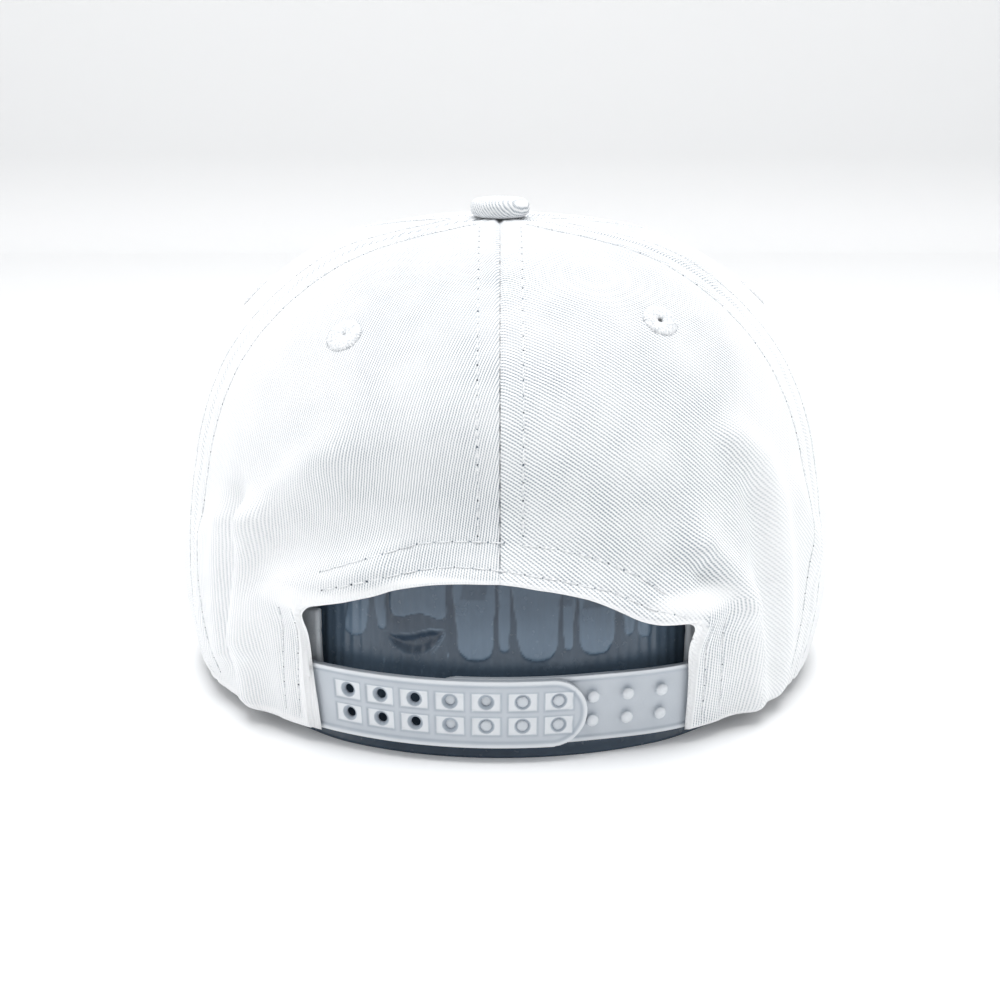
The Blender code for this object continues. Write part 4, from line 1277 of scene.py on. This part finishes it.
# Tongues pressed into the insert where the opening shows it: their left and right edges high up and at
# their lower ends, and the height of those ends, in millimetres
Tongue = namedtuple("Tongue", "left right low_left low_right low")
TONGUES = (
    Tongue(-38.0, -32.6, -39.6, -34.4, 29.0),
    Tongue(-31.6, -28.4, -30.9, -28.7, 31.8),
    Tongue(-27.5, -13.3, -27.5, -13.3, 36.2),
    Tongue(-11.7, -1.1, -9.7, -2.0, 25.3),
    Tongue(-0.6, 2.6, 0.0, 2.4, 27.7),
    Tongue(2.8, 15.2, 6.0, 13.5, 25.1),
    Tongue(15.5, 18.9, 16.0, 17.9, 27.6),
    Tongue(19.2, 29.0, 20.4, 28.2, 25.8),
    Tongue(30.8, 34.2, 31.3, 33.6, 29.9),
    Tongue(34.3, 38.5, 35.0, 38.2, 28.8),
)
TONGUE_TOP, WIDE_TONGUE = 44.0, 2

# Shades on the tongues under the arch: their middle, half their width and the height of their end
TONGUE_SHADES = ((-6.9, 3.4, 40.6), (15.9, 2.1, 38.6), (23.2, 3.2, 37.6))

# Painted glints of light, as painted highlights: their place, how wide and high they are, and how strong
GLINTS = (
    (-30.5, 25.6, 0.16, 1.0, 1.1), (-29.2, 23.4, 0.16, 1.2, 1.1), (-26.0, 23.8, 0.16, 0.9, 1.1),
    (-19.6, 21.6, 0.16, 0.8, 1.1), (-12.9, 26.4, 0.16, 0.8, 1.1), (-24.4, 21.4, 0.16, 0.8, 1.1),
    (-36.0, 2.6, 1.3, 0.3, 1.0), (21.1, 2.6, 0.9, 0.3, 1.0),
)

# A dent under the wide tongue: its middle, half its width, and the heights of its lip and its lower
# edge, in millimetres
DENT_MIDDLE, DENT_HALF, DENT_LIP, DENT_LOW = -21.5, 7.7, 31.4, 25.6


def insert_face(angle, height, proud):
    """The insert's outer face at a height, and proud of it."""
    turn = turned(angle)
    top = rise_at(INSERT_HEIGHT - RIM_LIFT)
    low, out = outline(turn, insert_inset(turn) + 0.9 * MM)
    high, _ = outline(turn, insert_inset(turn) + 0.9 * MM, top)
    share = (height / INSERT_HEIGHT)[..., None]
    place = low + share * (high - low) + out * np.asarray(proud)[..., None]
    place[..., 2] = height
    return place


def inside_tongue(x, z, tongue):
    """Distance in from the edge of a tongue, negative outside it, in millimetres."""
    up = np.clip((z - tongue.low) / (TONGUE_TOP - tongue.low), 0.0, 1.0) ** 0.6
    left = tongue.low_left + (tongue.left - tongue.low_left) * up
    right = tongue.low_right + (tongue.right - tongue.low_right) * up
    middle, half = (left + right) / 2, (right - left) / 2
    rounding = np.clip((z - tongue.low) / (0.9 * half + 0.4), 0.0, 1.0)
    half = half * (1 - (1 - rounding) ** 2.5) ** 0.4
    return np.minimum(half - np.abs(x - middle), z - tongue.low)


def insert_marks(angle, height):
    """How pale the insert is painted, with paler tongues, painted light, painted shade and painted
    highlights, and how far its tongues and its dent move it.
    """
    x, z = insert_face(angle, height, 0.0 * height)[..., 0] / MM, height / MM
    waver = 0.35 * np.sin(z / 2.3 + x / 3.1) + 0.2 * np.sin(z / 1.1 - x / 1.7)
    thin, out = np.zeros(x.shape), np.zeros(x.shape)
    for number, tongue in enumerate(TONGUES):
        low = 0.0
        if number == WIDE_TONGUE:
            low = 0.5 * np.sin(x / 2.2 + 1.0) + 3.4 * np.clip(np.abs(x + 20.4) / 7.1, 0, 1) ** 2.2
        into = inside_tongue(x + 0.4 * waver, z + low, tongue)
        thin = np.maximum(thin, step(-0.10, 0.22, into))
        out = np.maximum(out, 0.35 * step(-0.3, 0.5, into))
    for middle in np.degrees((np.arange(FLUTES) + 0.5) * math.tau / FLUTES):
        turn = (np.degrees(angle) - middle + 180) % 360 - 180
        if abs((middle + 180) % 360 - 180) > 36:
            into = np.minimum(2.9 - np.abs(turn), (z - 27) / 4)
            thin = np.maximum(thin, 0.8 * step(-0.1, 0.35, into))
            out = np.maximum(out, 0.35 * step(-0.2, 0.6, into))
    along = (x - DENT_MIDDLE) / DENT_HALF
    lip = DENT_LIP + 1.5 * step(-0.2, 0.75, along) + 0.3 * np.sin(3.2 * along + 0.5)
    low = DENT_LOW + 6.2 * np.abs(along) ** 2.4 + 0.6 * along
    in_dent = np.where(np.abs(along) < 1.05, np.minimum(lip - z, z - low), -9.0)
    thin = thin * (1 - step(-0.1, 0.1, in_dent))
    # Lower down the insert is painted paler, as painted light.
    painted_light_low = 1 - step(22.0, 41.0, z)
    thin = 0.40 * thin * (1 + 0.9 * painted_light_low) + 0.30 * painted_light_low
    # At the bottom and far to either side it is painted paler still, as painted light.
    thin += 0.30 * (1 - step(20.0, 28.0, z)) + 0.38 * step(24.0, 42.0, np.abs(x))
    # Painted shade in the dent.
    thin -= 0.12 * step(0.2, 1.2, in_dent)
    for middle, half, end in TONGUE_SHADES:
        shade = np.minimum(half - np.abs(x - middle - 0.2 * (z - end)), 0.9 * (z - end))
        thin = thin * (1 - 0.55 * step(0.0, 0.7, shade))
    # Near the foot, under the strap, it is painted darker, as painted shade.
    thin = thin * (0.25 + 0.75 * step(9.0, 15.0, z))
    # The dent's lip and its lower right are painted pale, as painted highlights.
    right = step(0.1, 0.8, along)
    thin = np.maximum(thin, bump(in_dent - 0.1, 0.22) * (0.34 + 0.34 * right))
    thin = np.maximum(thin, 0.55 * bump(np.minimum(in_dent, z - low) + 1.0, 0.7) * right * (z < lip))
    out -= 0.8 * step(0.0, 2.6, in_dent)
    # Painted glints, as painted highlights.
    for spot, up, wide, high, strength in GLINTS:
        thin = np.maximum(thin, strength * (bump(x - spot, wide) * bump(z - up, high)))
    return thin, out * MM


def insert_piece(moulding, finish):
    """The glossy insert: a wall a millimetre thick on a small foot, with tongues pressed into it all round.
    """
    fine, rest = math.radians(40), math.tau - math.radians(40)
    angle = np.concatenate([np.linspace(-fine, fine, 280), np.linspace(fine, rest, 250)[1:-1]])
    share = np.concatenate([[0, 0.012, 0.03, 0.05], np.linspace(0.08, 0.30, 8)[:-1],
                            np.linspace(0.30, 0.74, 66)[:-1], np.linspace(0.74, 1, 12)])
    angle, height = np.broadcast_arrays(angle[:, None], INSERT_HEIGHT * share[None, :])
    thin, pressed = insert_marks(angle, height)
    foot = 0.8 * MM * (1 - step(0.8 * MM, 2.4 * MM, height))
    flute = 0.12 * MM * np.sin(5 * FLUTES * angle) * step(1 * MM, 5 * MM, height)
    outer = insert_face(angle, height, flute + foot + pressed)
    inner = insert_face(angle, height, np.full(angle.shape, -INSERT_WALL) + np.minimum(pressed, 0))
    cells = np.ones((angle.shape[0], angle.shape[1] - 1), bool)
    made = walled_grid("fluted_insert", outer, inner, cells, around=True)
    store_pale_and_painted_light(made, np.concatenate([thin.ravel()] * 2))
    return as_piece(made, finish, "insert", "crown_insert")


# What a user would change

def length_setting(name, description, millimetres):
    return FloatProperty(name=name, description=description, default=millimetres * MM,
                         subtype="DISTANCE", unit="LENGTH", precision=5)


def colour_setting(name, description, default):
    return FloatVectorProperty(name=name, description=description, default=default,
                               subtype="COLOR", min=0.0, max=1.0)


class CapCloth(bpy.types.PropertyGroup):
    """Sizes and colours of the cap's cloth and stitching."""

    wale_pitch: length_setting("Wale pitch", "Distance between the twill's diagonal ridges", 0.88)
    float_length: length_setting("Float length", "Length of one float of yarn along a ridge", 0.76)
    wale_contrast: FloatProperty(
        name="Ridge contrast", description="How dark the valleys between the ridges are",
        default=1.15, min=0.0, max=3.0)
    stitch_pitch: length_setting("Stitch pitch", "Length of one stitch", 4.4)
    thread_radius: length_setting("Thread radius", "Radius of the sewing thread", 0.2)
    needle_radius: length_setting("Needle hole radius", "Radius of the holes between stitches", 0.24)
    seam_stitch: length_setting("Topstitch distance", "From a seam to the stitching beside it", 6.0)
    seam_depth: length_setting("Seam depth", "How deep the cloth rolls in at a seam", 0.8)
    seam_gap: length_setting("Seam gap", "Gap between two panels at the bottom of a seam", 0.1)
    back_seam_gap: length_setting("Back seam gap", "Gap at the bottom of the middle seam of the back", 0.21)
    white: colour_setting("Cloth", "Colour of the twill and thread", (0.90, 0.905, 0.91))
    # Shade colour, painted into the weave's valleys as painted shade.
    shade: colour_setting("Valleys", "Colour between the ridges", (0.20, 0.245, 0.29))
    # Colour of the painted shade in the needle holes.
    needle_hole_shade: colour_setting("Needle holes", "Colour of the needle holes", (0.05, 0.06, 0.08))


class CapMoulding(bpy.types.PropertyGroup):
    """Sizes and colours of the plastic strap and insert."""

    pocket_width: length_setting("Pocket width", "Width of the pocket round a snap hole", 7.5)
    pocket_height: length_setting("Pocket height", "Height of the pocket round a snap hole", 5.1)
    pocket_depth: length_setting("Pocket depth", "Depth of the pocket round a snap hole", 0.45)
    bore_radius: length_setting("Bore radius", "Radius of a snap hole", 1.22)
    funnel_radius: length_setting("Funnel radius", "Radius of a snap hole's wide mouth", 2.0)
    peg_radius: length_setting("Peg radius", "Radius of a peg's head", 1.62)
    fineness: length_setting("Fineness", "Size of the strap's mesh", 0.28)
    strap: colour_setting("Strap", "Colour of the strap", (0.34, 0.385, 0.44))
    # The strap's pale colour, painted on its paler parts and as painted highlights.
    strap_pale: colour_setting(
        "Strap, thin", "Colour of the strap where it is thin or stands out", (0.72, 0.745, 0.77))
    insert: colour_setting("Insert", "Colour of the insert", (0.030, 0.048, 0.074))
    # The insert's pale colour, painted on its paler tongues and as painted light and painted highlights.
    insert_pale: colour_setting(
        "Insert, stretched", "Colour of the insert where it is stretched thin", (0.155, 0.220, 0.295))


class CapStudio(bpy.types.PropertyGroup):
    """The floor, the lights and the sky of the studio."""

    floor: colour_setting("Floor", "Colour of the paper round the cap", (0.92, 0.925, 0.93))
    wall: colour_setting("Backdrop", "Colour of the paper far behind the cap", (0.73, 0.732, 0.734))
    sky: FloatProperty(
        name="Sky", description="Strength of the light from all round", default=0.47, min=0.0)
    overhead: FloatProperty(
        name="Overhead light", description="Power of the overhead softbox",
        default=20.4, min=0.0, unit="POWER")
    sides: FloatProperty(
        name="Side lights", description="Power of each softbox beside the cap",
        default=2.3, min=0.0, unit="POWER")
    glow: FloatProperty(
        name="Table glow", description="Strength of the lit table's own light",
        default=0.10, min=0.0)
    backdrop_distance: FloatProperty(
        name="Backdrop distance", description="From the cap to the backdrop",
        default=0.95, subtype="DISTANCE", unit="LENGTH")


def cloth_finishes(cloth):
    """The twill, thread and needle hole shade materials, made once and shared."""
    made = {}
    for name, build in (("Cap twill", twill_finish), ("Sewing thread", thread_finish),
                        ("Needle hole", hole_shade_finish)):
        made[name] = bpy.data.materials.get(name) or build(name, cloth)
    return made["Cap twill"], made["Sewing thread"], made["Needle hole"]


# The studio and the camera, in metres, with the lens in millimetres. The camera stands where the photo was
# taken from.
FLOOR_WIDTH, FLOOR_DEPTH, WALL_HEIGHT, SWEEP_RADIUS = 5.0, 2.4, 1.5, 0.07
CAMERA_PLACE, CAMERA_TILT, CAMERA_LENS = (0.0, -0.527, 0.1838), math.radians(75.1), 67.356


# Operators

class CapStep:
    bl_options = {"REGISTER", "UNDO"}


class CAP_OT_crown(CapStep, bpy.types.Operator):
    """Build the six crown panels with their folds and hems"""

    bl_idname = "cap.crown"
    bl_label = "Crown Panels"

    def execute(self, context):
        cloth = context.scene.cap_cloth
        twill, _, _ = cloth_finishes(cloth)
        for part in ("back", "side", "front"):
            for side in ("left", "right"):
                panel_piece(f"panel_{part}_{side}", cloth, twill)
        return {"FINISHED"}


class CAP_OT_stitching(CapStep, bpy.types.Operator):
    """Sew the rows of stitching beside the seams and round the opening"""

    bl_idname = "cap.stitching"
    bl_label = "Stitching"

    def execute(self, context):
        cloth = context.scene.cap_cloth
        _, thread, hole = cloth_finishes(cloth)
        seams = {
            "back": (lambda rise: 0 * rise, 0.333),
            "back_left": (lambda rise: -seam_angle(rise), 0.03),
            "back_right": (seam_angle, 0.03),
            "front_left": (lambda rise: seam_angle(rise) - math.pi, 0.03),
            "front_right": (lambda rise: math.pi - seam_angle(rise), 0.03),
            "front": (lambda rise: math.pi + 0 * rise, 0.03),
        }
        for name, (seam, low) in seams.items():
            rows = [beside_seam(seam, sign, low, 0.93, cloth) for sign in (-1, 1)]
            stitched(f"stitching_{name}", rows, cloth, (thread, hole))
        stitched("stitching_arch", [routed(row, cloth) for row in ARCH_ROWS], cloth, (thread, hole))
        stitched("stitching_tabs", [routed(row, cloth) for row in TAB_ROWS], cloth, (thread, hole))
        return {"FINISHED"}


class CAP_OT_button_and_eyelets(CapStep, bpy.types.Operator):
    """Cover the button and sew the six eyelets"""

    bl_idname = "cap.button_and_eyelets"
    bl_label = "Button and Eyelets"

    def execute(self, context):
        cloth = context.scene.cap_cloth
        twill, thread, _ = cloth_finishes(cloth)
        covered_button(twill)
        for number, eyelet in enumerate(EYELETS, 1):
            eyelet_piece(number, eyelet, cloth, thread)
        return {"FINISHED"}


class CAP_OT_band_and_peak(CapStep, bpy.types.Operator):
    """Lay in the sweatband and sew the peak"""

    bl_idname = "cap.band_and_peak"
    bl_label = "Sweatband and Peak"

    def execute(self, context):
        cloth = context.scene.cap_cloth
        twill, thread, hole = cloth_finishes(cloth)
        sweatband_piece(band_finish("Sweatband cotton", cloth))
        peak_piece(cloth, twill, (thread, hole))
        return {"FINISHED"}


class CAP_OT_strap(CapStep, bpy.types.Operator):
    """Mould both halves of the snap strap and lay them round the cap"""

    bl_idname = "cap.strap"
    bl_label = "Snap Strap"

    def execute(self, context):
        moulding = context.scene.cap_moulding
        satin = moulded_finish(
            "Strap plastic", moulding.strap, moulding.strap_pale, 0.36, 0.04 * MM)
        holes_strap(moulding, satin)
        pegs_strap(moulding, satin)
        return {"FINISHED"}


class CAP_OT_insert(CapStep, bpy.types.Operator):
    """Press the fluted crown insert"""

    bl_idname = "cap.insert"
    bl_label = "Crown Insert"

    def execute(self, context):
        moulding = context.scene.cap_moulding
        gloss = moulded_finish(
            "Insert plastic", moulding.insert, moulding.insert_pale, 0.24, 0.05 * MM)
        insert_piece(moulding, gloss)
        return {"FINISHED"}


class CAP_OT_studio(CapStep, bpy.types.Operator):
    """Set up the floor, the backdrop, the lights and the camera"""

    bl_idname = "cap.studio"
    bl_label = "Studio"

    def execute(self, context):
        studio = context.scene.cap_studio
        deselect()
        bpy.ops.mesh.primitive_plane_add(size=1.0, location=(0, 0, 0))
        floor = bpy.context.object
        floor.name = floor.data.name = "studio_sweep"
        floor.scale = (FLOOR_WIDTH, FLOOR_DEPTH, 1.0)
        floor.location = (0.0, studio.backdrop_distance - FLOOR_DEPTH / 2, 0.0)
        settled(floor)
        foot_y = studio.backdrop_distance - 1e-4

        def at_foot(a, b):
            return min(a.y, b.y) > foot_y and max(a.z, b.z) < 1e-4

        select_edges(floor, at_foot)
        bpy.ops.mesh.extrude_region_move(TRANSFORM_OT_translate={"value": (0, 0, WALL_HEIGHT)})
        bpy.ops.object.mode_set(mode="OBJECT")
        select_edges(floor, at_foot)
        bpy.ops.mesh.bevel(offset=SWEEP_RADIUS, segments=24)
        bpy.ops.object.mode_set(mode="OBJECT")
        floor.data.shade_smooth()
        paper = Finish("Studio paper", Roughness=0.9, Emission_Strength=studio.glow)
        away = paper.along(1).between(0.12, 0.50) * 0.88 + paper.along(2).between(0.0, 0.05) * 0.12
        away = away + (paper.noise(0.6, 1.0) - 0.5) * 0.03
        paper.feed("Base Color", paper.mixed(away, colour(studio.floor), colour(studio.wall)))
        paper.feed("Emission Color", paper.mixed(away, colour(studio.floor), (0.0, 0.0, 0.0, 1.0)))
        floor.data.materials.append(paper.material)
        add_light("overhead", studio.overhead, 1.3, (0.0, -0.02, 1.3), (0.0, 0.0, 0.0))
        for name, side, share in (("left_side", -1, 1.2), ("right_side", 1, 1.0)):
            add_light(name, studio.sides * share, 0.9, (side * 1.0, -0.15, 0.45), (0.0, 0.0, 0.05))
        world = bpy.data.worlds.new("studio")
        world.use_nodes = True
        sky = world.node_tree.nodes["Background"].inputs
        sky["Color"].default_value = (0.955, 0.975, 1.0, 1.0)
        sky["Strength"].default_value = studio.sky
        context.scene.world = world
        context.scene.view_settings.view_transform = "Standard"
        camera = bpy.data.objects.new("camera", bpy.data.cameras.new("camera"))
        context.scene.collection.objects.link(camera)
        camera.location = CAMERA_PLACE
        camera.rotation_euler = (CAMERA_TILT, 0.0, 0.0)
        camera.data.lens, camera.data.sensor_width = CAMERA_LENS, 36.0
        camera.data.clip_start = 0.01
        context.scene.camera = camera
        return {"FINISHED"}


def add_light(name, power, size, place, target):
    light = bpy.data.lights.new(name, "AREA")
    light.energy, light.size = power, size
    obj = bpy.data.objects.new(name, light)
    bpy.context.scene.collection.objects.link(obj)
    obj.location = place
    obj.rotation_euler = (Vector(target) - Vector(place)).to_track_quat("-Z", "Y").to_euler()
    return obj


class CAP_PT_sidebar(bpy.types.Panel):
    """The steps that build the cap, in order"""

    bl_label = "Snapback Cap"
    bl_idname = "CAP_PT_sidebar"
    bl_space_type = "VIEW_3D"
    bl_region_type = "UI"
    bl_category = "Cap"

    def draw(self, context):
        column = self.layout.column(align=True)
        for step_id in STEPS:
            column.operator(step_id)
        for group in GROUPS:
            settings = getattr(context.scene, group)
            box = self.layout.box()
            box.label(text=settings.bl_rna.name)
            for name in settings.__annotations__:
                box.prop(settings, name)


STEPS = ("cap.studio", "cap.crown", "cap.stitching", "cap.button_and_eyelets",
         "cap.band_and_peak", "cap.strap", "cap.insert")
GROUPS = {"cap_cloth": CapCloth, "cap_moulding": CapMoulding, "cap_studio": CapStudio}
CLASSES = (CapCloth, CapMoulding, CapStudio, CAP_OT_crown, CAP_OT_stitching,
           CAP_OT_button_and_eyelets, CAP_OT_band_and_peak, CAP_OT_strap, CAP_OT_insert,
           CAP_OT_studio, CAP_PT_sidebar)


def register():
    for cls in CLASSES:
        bpy.utils.register_class(cls)
    for name, group in GROUPS.items():
        setattr(bpy.types.Scene, name, PointerProperty(type=group))


def unregister():
    for name in GROUPS:
        delattr(bpy.types.Scene, name)
    for cls in reversed(CLASSES):
        bpy.utils.unregister_class(cls)


def main():
    register()
    bpy.ops.cap.studio()
    bpy.ops.cap.crown()
    bpy.ops.cap.stitching()
    bpy.ops.cap.button_and_eyelets()
    bpy.ops.cap.band_and_peak()
    bpy.ops.cap.strap()
    bpy.ops.cap.insert()


if __name__ == "__main__":
    main()
